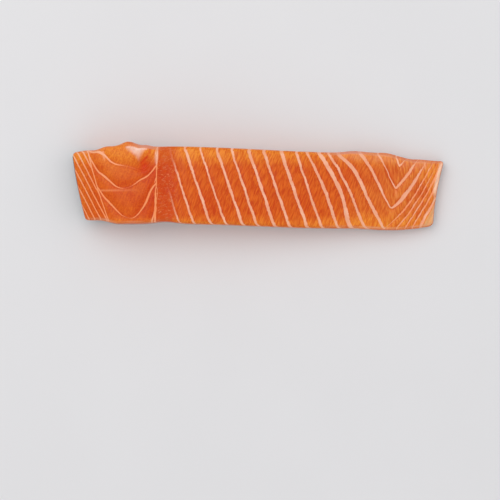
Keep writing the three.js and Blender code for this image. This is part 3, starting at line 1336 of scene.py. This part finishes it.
@dataclass(frozen=True)
class SkinFinish:
    """Scaled fish skin: slate back with spots, silver flank, pale belly, wet."""

    back: Colour = srgb(58, 68, 74)
    flank: Colour = srgb(158, 166, 170)
    silver: Colour = srgb(205, 208, 208)
    belly: Colour = srgb(232, 230, 226)
    spot: Colour = srgb(22, 25, 28)
    edge: Colour = srgb(124, 134, 139)
    inner: Colour = srgb(190, 140, 124)
    mottle: Noise = Noise((5.0, 7.0, 5.0), 3.0, 0.6)
    mottle_way: float = 0.16
    grain: Noise = Noise((0.5, 0.9, 0.5))
    grain_range: Span = (0.3, 0.7)
    grain_bump: float = 0.04
    flank_from: Span = (0.05, 0.34)
    silver_from: Span = (0.3, 0.55)
    belly_from: Span = (0.62, 0.95)
    tint_range: Span = (0.8, 1.14)
    edge_share: float = 0.6
    spot_share: float = 0.92
    line_share: float = 0.6
    metal_from: Span = (0.1, 0.6)
    metal_shares: Span = (0.15, 0.45)
    wet_shares: Span = (0.24, 0.4)

    def material(self) -> bpy.types.Material:
        """Return the material: colours that change round the fish, under its scales and spots."""
        pen = NodePen("scaled_fish_skin")
        read = pen.attribute
        grain = pen.noise(self.grain)
        girth = pen.total(read("girth"), pen.offset(pen.noise(self.mottle), self.mottle_way))
        colour = pen.coats(
            self.back,
            (pen.fade(girth, *self.flank_from), self.flank),
            (pen.fade(girth, *self.silver_from), self.silver),
            (pen.fade(girth, *self.belly_from), self.belly),
        )
        colour = pen.coats(
            pen.tinted(colour, pen.span(read("scale_tint"), 0.0, 1.0, *self.tint_range)),
            (pen.product(read("scale_edge"), self.edge_share), self.edge),
            (pen.product(read("spots"), self.spot_share), self.spot),
            (pen.product(read("lateral_line"), self.line_share), self.back),
            (read("inside"), self.inner),
        )
        outside = pen.math("SUBTRACT", 1.0, read("inside"))
        return pen.surface(
            Base_Color=colour,
            Metallic=pen.product(outside, pen.span(girth, *self.metal_from, *self.metal_shares)),
            Roughness=pen.span(grain, *self.grain_range, *self.wet_shares),
            Normal=pen.bump(grain, self.grain_bump),
            Coat_Weight=0.25,
            Coat_Roughness=0.1,
        )


@dataclass(frozen=True)
class FloorFinish:
    """A plain pale matt board."""

    pale: Colour = srgb(219, 217, 217)
    cloud: Noise = Noise((60.0, 60.0, 60.0))
    cloud_range: Span = (0.3, 0.7)
    darkest: float = 0.985

    def material(self) -> bpy.types.Material:
        """Return the material."""
        pen = NodePen("pale_floor")
        tone = pen.span(pen.noise(self.cloud), *self.cloud_range, self.darkest, 1.0)
        return pen.surface(Base_Color=pen.tinted(self.pale, tone), Roughness=0.6)


# What the finishes read at each point


@dataclass(frozen=True)
class SheetWidths:
    """Half the widths of the white sheets, in mm. A width below 0 leaves a sheet out."""

    form: PortionForm
    inner: Row = (
        0.46, 0.36, 0.64, 0.9, 0.6, 0.95, 0.7, 0.6, 0.75, 0.6, 0.65, 0.55, 0.62, 0.5, 0.58, 0.5, 0.5,
    )
    outer_start: float = 66.0
    outer_step: float = 6.5
    outer: tuple[Row, ...] = (
        (0.46, 0.44, 0.36, 0.26, 0.26),
        (0.52, 0.66, 0.54, 0.3, 0.2),
        (0.5, 0.9, 0.85, -0.2, -0.2),
        (0.1, 0.34, 0.34, 0.3, 0.26),
        (0.3, 0.34, 0.34, 0.28, -0.1),
        (0.3, 0.24, 0.3, 0.34, 0.75),
        (0.2, 0.2, 0.24, 0.36, 0.7),
        (0.6, 0.6, 0.62, 0.66, 0.6),
        (-0.3, -0.3, -0.3, -0.3, -0.3),
    )
    outer_pale: Row = (0.7, 0.7, 0.95, 0.2, 0.15, 0.3, 0.4, 0.85, 0.6)
    tip_thin: Swell = Swell(66.0, 2.4, 0.42)
    rim_least: float = 0.3
    rim_rise: Step = Step(1.5, 5.0, 0.7)
    tapers: tuple[Step, ...] = (Step(0.0, 14.0, 0.15), Step(0.0, -15.0, -0.2))
    last_tapered: int = 3
    swing: Rough = Rough((7.0, 7.0, 7.0), 5, 0.25)
    loin_half: float = 0.33
    loin_turn: Swell = Swell(-64.5, 3.0, 1.0)
    loin_first_end: Step = Step(-69.5, -64.5, 1.0)
    loin_broad: tuple[tuple[Swell, ...], ...] = (
        (Swell(-78.6, 2.0, 0.3),),
        (Swell(-75.0, 2.5, 0.14),),
        (Swell(-71.0, 3.0, 0.12), Swell(-54.6, 1.5, 0.12)),
    )
    midline_least: float = 0.24
    midline_rise: Step = Step(-2.0, -6.0, 0.2)

    def outer_at(self, x: Array, number: Array) -> Array:
        """Return the belly's outer arms' value, read along x from each arm's own row.

        Args:
            x: Points, in mm.
            number: Number of the nearest arm.

        Returns:
            Half widths, in mm.
        """
        rows = np.array(self.outer)
        index, part = interval(x, self.outer_start, self.outer_step, rows.shape[1])
        return rows[number, index] * (1.0 - part) + rows[number, index + 1] * part

    def belly(self, x: Array, y: Array, zones: Zones) -> tuple[Array, Array]:
        """Return the belly's half width at each point, and how pale the sheet is there.

        The inner arms have a width each and taper from the upper cut to the lower one. The outer
        arms change along x and thin towards the upper cut. All are thinner at the tips of the V.

        Args:
            x: Points, in mm.
            y: Points, in mm.
            zones: What the zones say of the points.

        Returns:
            Half widths, in mm, and paleness from 0 to 1.
        """
        number = np.clip(np.round(zones.belly), 0, len(self.inner) - 1).astype(int)
        outer_number = np.minimum(number, len(self.outer) - 1)
        on_inner = zones.inner > zones.outer
        half = np.where(on_inner, np.array(self.inner)[number], self.outer_at(x, outer_number))
        half *= 1.0 - self.tip_thin.at(x)
        _, from_upper = self.form.cut_gaps(x, y)
        half *= np.where(on_inner, 1.0, self.rim_least + self.rim_rise.at(from_upper))
        taper = 1.0 + sum(step.at(y) for step in self.tapers)
        half *= np.where(on_inner & (number <= self.last_tapered), taper, 1.0)
        return half, np.where(on_inner, 1.0, np.array(self.outer_pale)[outer_number])

    def loin(self, x: Array, zones: Zones) -> Array:
        """Return the loin's half width at each point, which fades where the sheets turn.

        Args:
            x: Points, in mm.
            zones: What the zones say of the points.

        Returns:
            Half widths, in mm.
        """
        number = np.round(zones.loin)
        first = np.where(number <= 0, self.loin_first_end.at(x), 0.0)
        broad = (
            np.where(number == n, swell.at(x), 0.0)
            for n, swells in enumerate(self.loin_broad)
            for swell in swells
        )
        return self.loin_half + sum(broad) - self.loin_half * np.maximum(self.loin_turn.at(x), first)

    def attributes(self, x: Array, y: Array, depth: Array, zones: Zones, upper: Array) -> dict[str, Array]:
        """Return the half widths by attribute name.

        Args:
            x: Points, in mm.
            y: Points, in mm.
            depth: Depth below the top face, in mm.
            zones: What the zones say of the points.
            upper: 1 on the top face, 0 below it.

        Returns:
            Values for each point.
        """
        half, pale = self.belly(x, y, zones)
        swing = 1.0 + self.swing.at(x, y, depth)
        return {
            "belly_half": half * swing,
            "loin_half": self.loin(x, zones) * swing,
            "midline_half": self.midline_least + self.midline_rise.at(y) * upper,
            "pale": pale,
        }


@dataclass(frozen=True)
class FleshMarks:
    """Places where the flesh differs from plain muscle, and where a glow and a highlight are painted, as
    masks from 0 to 1. Lengths are in mm.
    """

    form: PortionForm
    muscle: MuscleMap

    # Where the painted glow lies: near the cuts, near the ends and in some places.
    warm_sides: tuple[Step, ...] = (Step(8.0, 17.0, 0.8), Step(-13.5, -19.5, 0.6))
    warm_ends: tuple[Step, ...] = (Step(80.0, 90.0, 0.6), Step(-80.0, -90.0, 0.3))
    warm_places: tuple[Mound, ...] = (
        Mound(-72.0, 8.0, 5.0, 4.0, 0.35),
        Mound(86.0, 9.0, 5.0, 4.5, 0.5),
        Mound(81.0, -17.0, 6.0, 4.0, 0.45),
        Mound(56.0, -17.0, 9.0, 4.0, 0.45),
    )
    warm_cloud: Rough = Rough((9.0, 6.0, 9.0), 7, 0.35)
    warm_most: float = 0.9
    warm_below: float = 0.2

    lining_least: float = 0.25
    lining_rise: Step = Step(-8.0, -1.0, 1.2)
    lining_soft: float = 1.4
    lining_faint: float = 0.4
    lining_paler: Step = Step(-7.0, 0.0, 0.58)
    flap_past: Step = Step(7.2, 7.7, 0.8)

    torn_from: Span = (-0.3, 1.0)
    torn_to: Span = (7.0, 12.0)
    torn_depth: Span = (1.0, 4.0)

    hollow_place: Mound = Mound(-56.3, 10.0, 1.4, 2.3, 1.0)
    hollow_lean: float = 0.12
    creases: tuple[Stroke, ...] = (
        Stroke((-57.8, 11.4), (-54.9, 14.6), 1.0, 0.5),
        Stroke((-54.9, 14.6), (-52.9, 18.8), 0.5, 0.4),
    )

    # The pale sinew, which also stands for a painted highlight on the fold.
    sinew_left: tuple[Spot, Spot] = ((-65.5, 19.7), (0.73, 0.68))
    sinew_right: tuple[Spot, Spot] = ((-55.3, 18.7), (-0.84, 0.54))
    sinew_top: tuple[Spot, Spot] = ((-65.5, 19.5), (-0.1, -1.0))
    sinew_rough: Rough = Rough((3.0, 3.0, 3.0), 3)
    sinew_rough_left: float = 0.9
    sinew_rough_right: float = 0.5
    sinew_side: Step = Step(-0.9, 1.4, 0.6)
    sinew_rim: Span = (-0.3, 0.3)
    sinew_least: float = 0.75
    sinew_rise: Step = Step(14.5, 18.0, 0.25)
    sinew_core: Mound = Mound(-60.6, 17.4, 1.5, 1.1, 0.2)
    # A painted highlight along the top of the fold.
    highlight_ridge: tuple[Spot, ...] = (
        (-65.0, 19.4), (-63.0, 19.6), (-61.1, 19.2), (-59.4, 18.1), (-57.6, 18.7), (-55.2, 18.5),
    )
    ridge_strength: float = 0.6
    ridge_spread: float = 0.3
    wedge_share: float = 0.4
    wedge_shift: float = 0.3
    wedge_half: Step = Step(7.0, 15.5, 0.85)
    wedge_soft: float = 0.3
    wedge_from: Span = (9.0, 12.0)
    wedge_to: Span = (16.0, 17.8)

    rim_upper: tuple[Swell | Step, ...] = (
        Swell(-55.5, 4.2, 0.9),
        Swell(47.0, 8.0, 0.9),
        Step(40.0, 60.0, 0.405),
    )
    rim_widths: Span = (1.5, 1.0)
    rim_soft: float = 0.8
    rim_lower: Swell = Swell(59.0, 6.0, 0.5)
    rim_lower_edge: Span = (0.3, 0.9)

    thin_from: Span = (30.0, 45.0)
    thin_to: Span = (84.0, 92.0)
    fringe_upper: tuple[Swell, ...] = (Swell(1.6, 0.4, 1.0), Swell(3.0, 1.4, 0.45))
    fringe_lower: Swell = Swell(1.1, 0.35, 1.0)
    fringe_lower_back: Swell = Swell(-60.0, 6.0, 0.7)
    fringe_tip_upper: Mound = Mound(-82.0, 0.8, 6.0, 0.5, 1.0)
    fringe_tip_lower: Mound = Mound(-77.0, 0.8, 5.0, 0.4, 1.0)
    fringe_rough: Rough = Rough((5.0, 9.0, 5.0), 41, 0.5)
    fringe_whole: float = 0.7
    fringe_share: float = 0.55

    spur_lines: tuple[Stroke, ...] = (
        Stroke((-77.0, 16.9), (-75.9, 12.5)),
        Stroke((-78.0, -2.2), (-59.0, -2.0), 0.6),
        Stroke((69.2, -2.4), (69.8, -6.6), 0.6),
        Stroke((83.7, 11.7), (84.0, 8.1), 0.65),
    )

    def painted_glow(self, x: Array, y: Array, depth: Array) -> Array:
        """Return the painted glow: how far the flesh is painted yellower and lighter where light comes
        through.

        Args:
            x: Points, in mm.
            y: Points, in mm.
            depth: Depth below the top face, in mm.

        Returns:
            Shares, up to the most that is set.
        """
        share = sum(step.at(y) for step in self.warm_sides) + sum(step.at(x) for step in self.warm_ends)
        share += sum(mound.at(x, y) for mound in self.warm_places)
        return np.clip(share * (1.0 + self.warm_cloud.at(x, y, depth)), 0.0, self.warm_most)

    def belly_edge(self, y: Array, edge: Array) -> Array:
        """Return a mask of the pale lining along the belly edge, broad above and thin below.

        Args:
            y: Points, in mm.
            edge: Distance from the belly edge, in mm.

        Returns:
            The mask.
        """
        width = self.lining_least + self.lining_rise.at(y)
        pale = self.lining_faint + self.lining_paler.at(y)
        return (1.0 - ramp(edge, width, width + self.lining_soft)) * pale

    def rough(self, past_midline: Array, depth: Array | float) -> Array:
        """Return a mask of the torn strip beside the midline, where the pin bones were."""
        strip = window(past_midline, self.torn_from, self.torn_to)
        return strip * (1.0 - ramp(depth, *self.torn_depth))

    def hollow(self, x: Array, y: Array) -> Array:
        """Return a mask of the deep red hollow beside the midline and the crease above it."""
        pocket = self.hollow_place.at(x - self.hollow_lean * (y - self.hollow_place.y), y)
        return np.max([pocket, *(crease.at(x, y) for crease in self.creases)], axis=0)

    def silver(self, x: Array, y: Array) -> Array:
        """Return a mask of the pale sinew near the upper cut, which also stands for a painted highlight.

        It is a ragged triangle between three straight edges, under a painted highlight along a ridge,
        with a wedge along the midline. A place is in from an edge by its way along the edge's normal.

        Args:
            x: Points, in mm.
            y: Points, in mm.

        Returns:
            The mask.
        """
        left, right, top = (
            (x - at[0]) * normal[0] + (y - at[1]) * normal[1]
            for at, normal in (self.sinew_left, self.sinew_right, self.sinew_top)
        )
        ragged = self.sinew_rough.at(x, y)
        side = np.minimum(left + self.sinew_rough_left * ragged, right + self.sinew_rough_right * ragged)
        patch = self.sinew_side.at(side) * ramp(top, *self.sinew_rim)
        patch *= self.sinew_least + self.sinew_rise.at(y)
        ends = zip(self.highlight_ridge[:-1], self.highlight_ridge[1:])
        strokes = [Stroke(*pair, self.ridge_strength, self.ridge_spread).at(x, y) for pair in ends]
        past = np.abs(self.muscle.past_midline(x, y, 0.0) + self.wedge_shift)
        half = self.wedge_half.at(y)
        wedge = 1.0 - ramp(past, half - self.wedge_soft, half + self.wedge_soft)
        wedge *= self.wedge_share * window(y, self.wedge_from, self.wedge_to)
        return np.clip(patch + self.sinew_core.at(x, y) + np.max(strokes, axis=0) + wedge, 0.0, 1.0)

    def rim_pink(self, x: Array, y: Array) -> Array:
        """Return a mask of the pink rim that the cuts show beyond the flesh's top edge.

        Args:
            x: Points, in mm.
            y: Points, in mm.

        Returns:
            The mask.
        """
        from_lower, from_upper = self.form.cut_gaps(x, y)
        width = np.where(x < 0.0, *self.rim_widths)
        upper = 1.0 - ramp(from_upper, width, width + self.rim_soft)
        upper *= np.max([mark.at(x) for mark in self.rim_upper], axis=0)
        return np.maximum(upper, (1.0 - ramp(from_lower, *self.rim_lower_edge)) * self.rim_lower.at(x))

    def fringe(self, x: Array, y: Array) -> Array:
        """Return a mask of the pale line beside each cut, where light comes through the edge.

        Args:
            x: Points, in mm.
            y: Points, in mm.

        Returns:
            The mask.
        """
        from_lower, from_upper = self.form.cut_gaps(x, y)
        thin_end = window(x, self.thin_from, self.thin_to)
        marks = [line.at(from_upper) * thin_end for line in self.fringe_upper]
        marks += [
            self.fringe_lower.at(from_lower) * np.maximum(thin_end, self.fringe_lower_back.at(x)),
            self.fringe_tip_upper.at(x, from_upper),
            self.fringe_tip_lower.at(x, from_lower),
        ]
        broken = np.clip(self.fringe_whole + self.fringe_rough.at(x, y), 0.0, 1.0)
        return self.fringe_share * broken * np.max(marks, axis=0)

    def attributes(self, patch: Patch, depth: Array, zones: Zones, upper: Array) -> dict[str, Array]:
        """Return the masks by attribute name.

        Args:
            patch: The surface.
            depth: Depth below the top face, in mm.
            zones: What the zones say of the points.
            upper: 1 on the top face, 0 below it.

        Returns:
            Values for each point.
        """
        x, y = patch.x, patch.y
        edge = self.form.belly_end.x_at(patch.across) - x
        top_only = {
            "belly_edge": self.belly_edge(y, edge),
            "thin_flap": self.flap_past.at(zones.outer),
            "fringe": self.fringe(x, y),
            "hollow": self.hollow(x, y),
            "silver": self.silver(x, y),
            "spurs": np.max([line.fading(x, y) for line in self.spur_lines], axis=0),
            "rim_pink": self.rim_pink(x, y),
            "on_top": 1.0,
        }
        masks = {name: mask * upper for name, mask in top_only.items()}
        # Painted glow, weaker below the top face.
        masks["painted_glow"] = self.painted_glow(x, y, depth) * (self.warm_below + (1.0 - self.warm_below) * upper)
        masks["rough"] = self.rough(zones.past_midline, depth)
        return masks


# Pieces


class Layer(Enum):
    """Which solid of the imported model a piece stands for."""

    FLESH = "flesh"
    SKIN = "skin"


@dataclass
class Flesh:
    """The muscle of the portion, in mm."""

    form: PortionForm
    muscle: MuscleMap
    cells: CellBox = CellBox(396, 90, 22, 10)
    cut_tuck: float = 0.1
    shrink: float = 0.1
    cut_bulge: float = 0.15
    belly_shrink: float = 0.15
    edge_radius: float = 1.9
    edge_share: float = 0.36
    overlap: float = 0.02
    flake_dip: float = 0.55
    flake_dip_from: Span = (0.0, 3.0)
    midline_flat: Span = (0.0, 4.0)
    band_dip: float = 0.12
    band_dip_from: Span = (0.0, 1.0)
    relief_from: Span = (0.0, 8.0)
    depth_blur: float = 1.4
    forms: tuple[Mound, ...] = (
        Mound(-44.8, 0.0, 4.2, 60.0, -0.9),
        Mound(-56.6, 10.5, 2.6, 3.4, -1.5),
        Mound(-62.0, 18.0, 5.0, 2.6, 0.6),
        Mound(20.0, 2.0, 22.0, 12.0, 0.5),
    )
    torn: Rough = Rough((2.2, 1.6, 1.0), 21, 0.22)
    ripple: Rough = Rough((5.0, 2.5, 50.0), 11, 0.12)
    on_cut: float = 0.999
    top_from: Span = (0.8, 0.97)
    bottom: float = 1.0
    dark_least: float = 1.3
    dark_seam: Swell = Swell(-48.4, 7.0, 5.5)

    def relief(self, x: Array, y: Array) -> Array:
        """Return the height of the low relief on the top face.

        It is a sum of bell-shaped places, less a dip along each sheet, which fades out at the band
        and beside the midline. A dip is c^4 with c the cosine of half a turn for each phase.

        Args:
            x: Points, in mm.
            y: Points, in mm.

        Returns:
            Heights, in mm.
        """
        zones = self.muscle.zones(x, y, 0.0)
        flake = np.cos(math.pi * np.where(zones.past_midline < 0.0, zones.loin, zones.belly)) ** 4
        flake *= ramp(zones.past_band, *self.flake_dip_from)
        flake *= ramp(np.abs(zones.past_midline), *self.midline_flat)
        band = np.cos(math.pi * zones.band) ** 4 * ramp(-zones.past_band, *self.band_dip_from)
        return sum(place.at(x, y) for place in self.forms) - self.flake_dip * flake - self.band_dip * band

    def surface(self, marks: FleshMarks) -> Patch:
        """Return the surface.

        Each point goes from the skin's inner face to the top by its share up. The top edge is a
        square edge pressed into a quarter circle, and the relief is added towards the top. The cut
        faces bulge by the sine of half a turn, and ripple where the knife went.

        Args:
            marks: The flesh's masks, of which the torn strip is rough.

        Returns:
            The surface.
        """
        form, grid = self.form, self.cells.grid(self.form)
        along, across, up = grid.along, grid.across, np.sin((math.pi / 2) * grid.up)
        start = form.back_end.x_at(across)
        shrink_x = start + along * (form.belly_end.x_at(across) - start)
        mid_height = np.sin(math.pi * up)
        lower, upper = (
            self.cut_tuck + (self.shrink + cut.shrink_at(shrink_x)) * up - self.cut_bulge * mid_height
            for cut in (form.lower_cut, form.upper_cut)
        )
        tuck = Tuck(lower, upper, self.belly_shrink)
        flat = form.plan(along, across, 0.0, tuck)
        bottom_run, bottom_z = form.skin_profile(flat.run, flat.row_length, form.skin_thick - self.overlap)
        shift = (bottom_run - flat.run) * (1.0 - up) + form.back_lip * (1.0 - along) * up
        plan = form.plan(along, across, shift, tuck)
        height = form.top_height(flat.run, across) - bottom_z
        radius = np.minimum(self.edge_radius, self.edge_share * height)
        near_edge, near_top = near(plan.edge_gap, radius), near((1.0 - up) * height, radius)
        squeeze = press(near_edge, near_top, radius)
        x = plan.x + squeeze * near_edge * plan.inward_x
        y = plan.y + squeeze * near_edge * plan.inward_y
        z = bottom_z + height * up - squeeze * near_top
        z += self.relief(x, y) * up**3 * ramp(flat.run, *self.relief_from)
        z += marks.rough(self.muscle.past_midline(x, y, 0.0), 0.0) * self.torn.at(x, y) * up**3
        y += self.ripple.at(x, z, z) * mid_height * (np.abs(across) > self.on_cut)
        return Patch(x, y, z, across, up, plan, grid.quads)

    def attributes(self, patch: Patch, marks: FleshMarks) -> dict[str, Array]:
        """Return what the finish reads at each point.

        Args:
            patch: The surface.
            marks: The flesh's masks.

        Returns:
            Values for each point, by name.
        """
        x, y = patch.x, patch.y
        top = self.form.top_height(patch.plan.run, patch.across)
        below = np.maximum(top - patch.z, 0.0)
        depth = np.sqrt(below**2 + self.depth_blur**2) - self.depth_blur
        zones = self.muscle.zones(x, y, depth)
        upper = ramp(patch.up, *self.top_from)
        values = marks.attributes(patch, depth, zones, upper)
        values.update(SheetWidths(self.form).attributes(x, y, depth, zones, upper))
        for name, phase in (("band", zones.band), ("loin", zones.loin), ("belly", zones.belly)):
            values[name + "_phase"] = phase
            values[name + "_pitch"] = surface_pitch(patch, phase)
        values["past_band"] = zones.past_band
        values["past_midline"] = zones.past_midline
        values["above_skin"] = patch.up * (top - self.bottom)
        values["dark_height"] = self.dark_least + self.dark_seam.at(x)
        return values

    def build(self, placing: Placing) -> bpy.types.Object:
        """Return the dressed piece, with its points placed on the solid.

        Args:
            placing: What puts the form's points on the solid.

        Returns:
            The piece.
        """
        marks = FleshMarks(self.form, self.muscle)
        patch = self.surface(marks)
        values = self.attributes(patch, marks)
        piece = make_piece("fillet_flesh", placing.points(patch), patch.quads, values)
        piece.data.materials.append(FleshFinish().material())
        return piece


@dataclass
class Skin:
    """The skin under the portion, wrapped up round its back end, in mm."""

    form: PortionForm
    muscle: MuscleMap
    cells: CellBox = CellBox(400, 104, 3, 8)
    scale_width: float = 2.5
    scale_row: float = 1.75
    scale_radius: float = 1.85
    scale_relief: float = 0.09
    scale_rim: Span = (0.55, 0.05)
    scale_chance: Spot = (12.9898, 78.233)
    rows_over: int = 4
    flat_rim: Span = (0.0, 1.2)
    spot_cell: float = 7.0
    spot_rough: Rough = Rough((2.0, 2.0, 2.0), 31, 0.5)
    spot_chances: tuple[Spot, ...] = ((12.9, 78.2), (39.3, 11.1), (73.2, 52.2), (9.7, 31.4))
    spot_place: Span = (0.2, 0.6)
    spot_size: Span = (0.9, 1.2)
    spot_stretch: float = 0.85
    spot_soft: float = 0.25
    spot_most: float = 0.75
    spot_reach: float = 42.0
    line_past: float = 3.0
    line_half: float = 0.35
    line_dash: Span = (3.5, 2.6)
    inside_from: float = 0.35

    def scales(self, around: Array, length: Array) -> tuple[Array, Array, Array]:
        """Return the relief of overlapping scales.

        Scales are discs on a staggered lattice. Of the discs that hold a point, the one nearest the
        head lies on top, and its height grows towards its free edge.

        Args:
            around: Place round the fish, in mm.
            length: Place along the fish, in mm.

        Returns:
            Height from 0 to 1, closeness to the free edge, and a random value for each scale.
        """
        first = np.ceil((length + self.scale_radius) / self.scale_row)
        height, edge, tint = (np.zeros_like(around) for _ in range(3))
        found = np.zeros(len(around), dtype=bool)
        rim_start, rim_end = (self.scale_radius - inset for inset in self.scale_rim)
        for n in range(self.rows_over):
            row = first - n
            stagger = np.mod(row, 2) * self.scale_width / 2
            column = np.round((around - stagger) / self.scale_width)
            off_around = around - stagger - column * self.scale_width
            off_length = length - row * self.scale_row
            gap = np.hypot(off_around, off_length)
            here = (gap < self.scale_radius) & ~found
            rise = np.clip(0.5 - 0.5 * off_length / self.scale_radius, 0.0, 1.0)
            height = np.where(here, rise, height)
            edge = np.where(here, ramp(gap, rim_start, rim_end), edge)
            tint = np.where(here, sine_chance(row, column, self.scale_chance), tint)
            found |= here
        return height, edge, tint

    def spots(self, around: Array, length: Array) -> Array:
        """Return a mask of dark spots, one by chance in each cell of a lattice near the back.

        Args:
            around: Place round the fish, in mm.
            length: Place along the fish, in mm.

        Returns:
            The mask.
        """
        cell, (inset, play), (least, more) = self.spot_cell, self.spot_place, self.spot_size
        mask = np.zeros_like(around)
        ragged = self.spot_rough.at(around, length)
        for step_column, step_row in itertools.product((-1, 0, 1), repeat=2):
            column = np.floor(around / cell) + step_column
            row = np.floor(length / cell) + step_row
            chance = [sine_chance(column, row, turn) for turn in self.spot_chances]
            centre = (column + inset + play * chance[0]) * cell
            off_length = (length - (row + inset + play * chance[1]) * cell) * self.spot_stretch
            size = least + more * chance[2]
            gap = np.hypot(around - centre, off_length) + ragged
            there = chance[3] < self.spot_most - centre / self.spot_reach
            spot = 1.0 - ramp(gap, size - self.spot_soft, size + self.spot_soft)
            mask = np.maximum(mask, np.where(there, spot, 0.0))
        return mask

    def surface(self) -> Patch:
        """Return the surface, a sheet that follows the skin profile."""
        grid = self.cells.grid(self.form)
        flat = self.form.plan(grid.along, grid.across, 0.0, Tuck())
        height, _, _ = self.scales(flat.run, flat.y)
        relief = self.scale_relief * (1.0 - height) * (1.0 - grid.up) * ramp(flat.edge_gap, *self.flat_rim)
        depth = self.form.skin_thick * grid.up + relief
        run, z = self.form.skin_profile(flat.run, flat.row_length, depth)
        plan = self.form.plan(grid.along, grid.across, run - flat.run, Tuck())
        return Patch(plan.x, plan.y, z, grid.across, grid.up, flat, grid.quads)

    def attributes(self, patch: Patch) -> dict[str, Array]:
        """Return what the finish reads at each point.

        Args:
            patch: The surface.

        Returns:
            Values by attribute name.
        """
        around, place = patch.plan.run, patch.plan.y
        _, edge, tint = self.scales(around, place)
        midline = self.muscle.midline[0] - self.form.back_end.x + self.line_past
        period, dash = self.line_dash
        return {
            "girth": around / patch.plan.row_length,
            "scale_edge": edge,
            "scale_tint": tint,
            "spots": self.spots(around, place),
            "lateral_line": bell(around, midline, self.line_half) * (np.mod(place, period) < dash),
            "inside": np.minimum(patch.up / self.inside_from, 1.0),
        }

    def centre(self, patch: Patch) -> Array:
        """Return the middle of the skin's box in plan, in the form's millimetres."""
        return np.array([(patch.x.min() + patch.x.max()) / 2, (patch.y.min() + patch.y.max()) / 2, 0.0])

    def build(self, placing: Placing, patch: Patch) -> bpy.types.Object:
        """Return the dressed piece, with its points placed on the solid.

        Args:
            placing: What puts the form's points on the solid.
            patch: The surface.

        Returns:
            The piece.
        """
        piece = make_piece("fillet_skin", placing.points(patch), patch.quads, self.attributes(patch))
        piece.data.materials.append(SkinFinish().material())
        return piece


@dataclass(frozen=True)
class SoftLight:
    """A square area light that points at the origin: its place and side in metres, its power in watts."""

    name: str
    place: tuple[float, float, float]
    size: float
    power: float

    def build(self) -> None:
        """Add the light."""
        lamp = bpy.data.lights.new(self.name, "AREA")
        lamp.size = self.size
        lamp.energy = self.power
        holder = bpy.data.objects.new(self.name, lamp)
        holder.location = self.place
        holder.rotation_euler = (-Vector(self.place)).to_track_quat("-Z", "Y").to_euler()
        bpy.context.scene.collection.objects.link(holder)


@dataclass
class Studio:
    """A pale floor, soft lights and a camera that looks straight down, in metres."""

    view_width: float = 0.25
    camera_height: float = 2.0
    focus_height: float = 0.01
    nearest: float = 0.01
    sensor: float = 36.0
    look_at: tuple[float, float, float] = (-3.75, -31.8, 0.0)
    floor_size: float = 3.0
    world: Colour = (0.9, 0.92, 0.95)
    world_strength: float = 0.72
    lights: tuple[SoftLight, ...] = (
        SoftLight("key", (-0.33, 0.45, 1.05), 1.1, 6.2),
        SoftLight("fill", (0.75, 0.1, 0.7), 1.0, 1.1),
        SoftLight("front", (-0.1, -0.8, 0.7), 1.0, 1.0),
    )

    def floor(self) -> None:
        """Add the floor."""
        half = self.floor_size / 2
        corners = np.array([(-half, -half, 0), (half, -half, 0), (half, half, 0), (-half, half, 0)]) / MM
        plane = make_piece("floor", corners, np.array([[0, 1, 2, 3]]), {})
        plane.data.materials.append(FloorFinish().material())

    def camera(self, shift: Array) -> None:
        """Add the camera: its width of view at the focus height fixes the lens.

        Args:
            shift: What moves the form's points onto the solid, in mm.
        """
        eye = bpy.data.cameras.new("camera")
        eye.sensor_width = self.sensor
        eye.lens = self.sensor * (self.camera_height - self.focus_height) / self.view_width
        eye.clip_start = self.nearest
        holder = bpy.data.objects.new("camera", eye)
        holder.location = (np.array(self.look_at) + shift) * MM
        holder.location.z = self.camera_height
        bpy.context.scene.collection.objects.link(holder)
        bpy.context.scene.camera = holder

    def backdrop(self) -> None:
        """Set the plain view of colours and the world's even light."""
        scene = bpy.context.scene
        scene.view_settings.view_transform = "Standard"
        scene.view_settings.look = "None"
        scene.world = bpy.data.worlds.new("studio")
        scene.world.use_nodes = True
        background = scene.world.node_tree.nodes["Background"]
        background.inputs["Color"].default_value = (*self.world, 1.0)
        background.inputs["Strength"].default_value = self.world_strength

    def build(self, shift: Array) -> None:
        """Add everything, with the camera over the form's points as they are shifted.

        Args:
            shift: What moves the form's points onto the solid, in mm.
        """
        self.backdrop()
        self.floor()
        for light in self.lights:
            light.build()
        self.camera(shift)
        LOG.info("studio: %d lights", len(self.lights))


def join_frame(piece: bpy.types.Object, layer: Layer) -> None:
    """Make a piece stand for its solid.

    Args:
        piece: The dressed piece.
        layer: Which solid it stands for.
    """
    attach(piece, "root")
    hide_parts(layer.value)
    LOG.info("%s: %d faces, stands for %s", piece.name, len(piece.data.polygons), layer.value)


def main() -> None:
    """Build the studio and the fillet."""
    logging.basicConfig(level=logging.INFO)
    form, muscle = PortionForm(), MuscleMap()
    skin = Skin(form, muscle)
    skin_patch = skin.surface()
    low, high = (np.array(corner) / MM for corner in cad_box)
    skin_low, skin_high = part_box(Layer.SKIN.value)
    middle = np.array([(skin_low.x + skin_high.x) / 2, (skin_low.y + skin_high.y) / 2, 0.0]) / MM
    placing = Placing(middle - skin.centre(skin_patch), low, high)
    Studio().build(placing.shift)
    join_frame(skin.build(placing, skin_patch), Layer.SKIN)
    join_frame(Flesh(form, muscle).build(placing), Layer.FLESH)


if __name__ == "__main__":
    main()
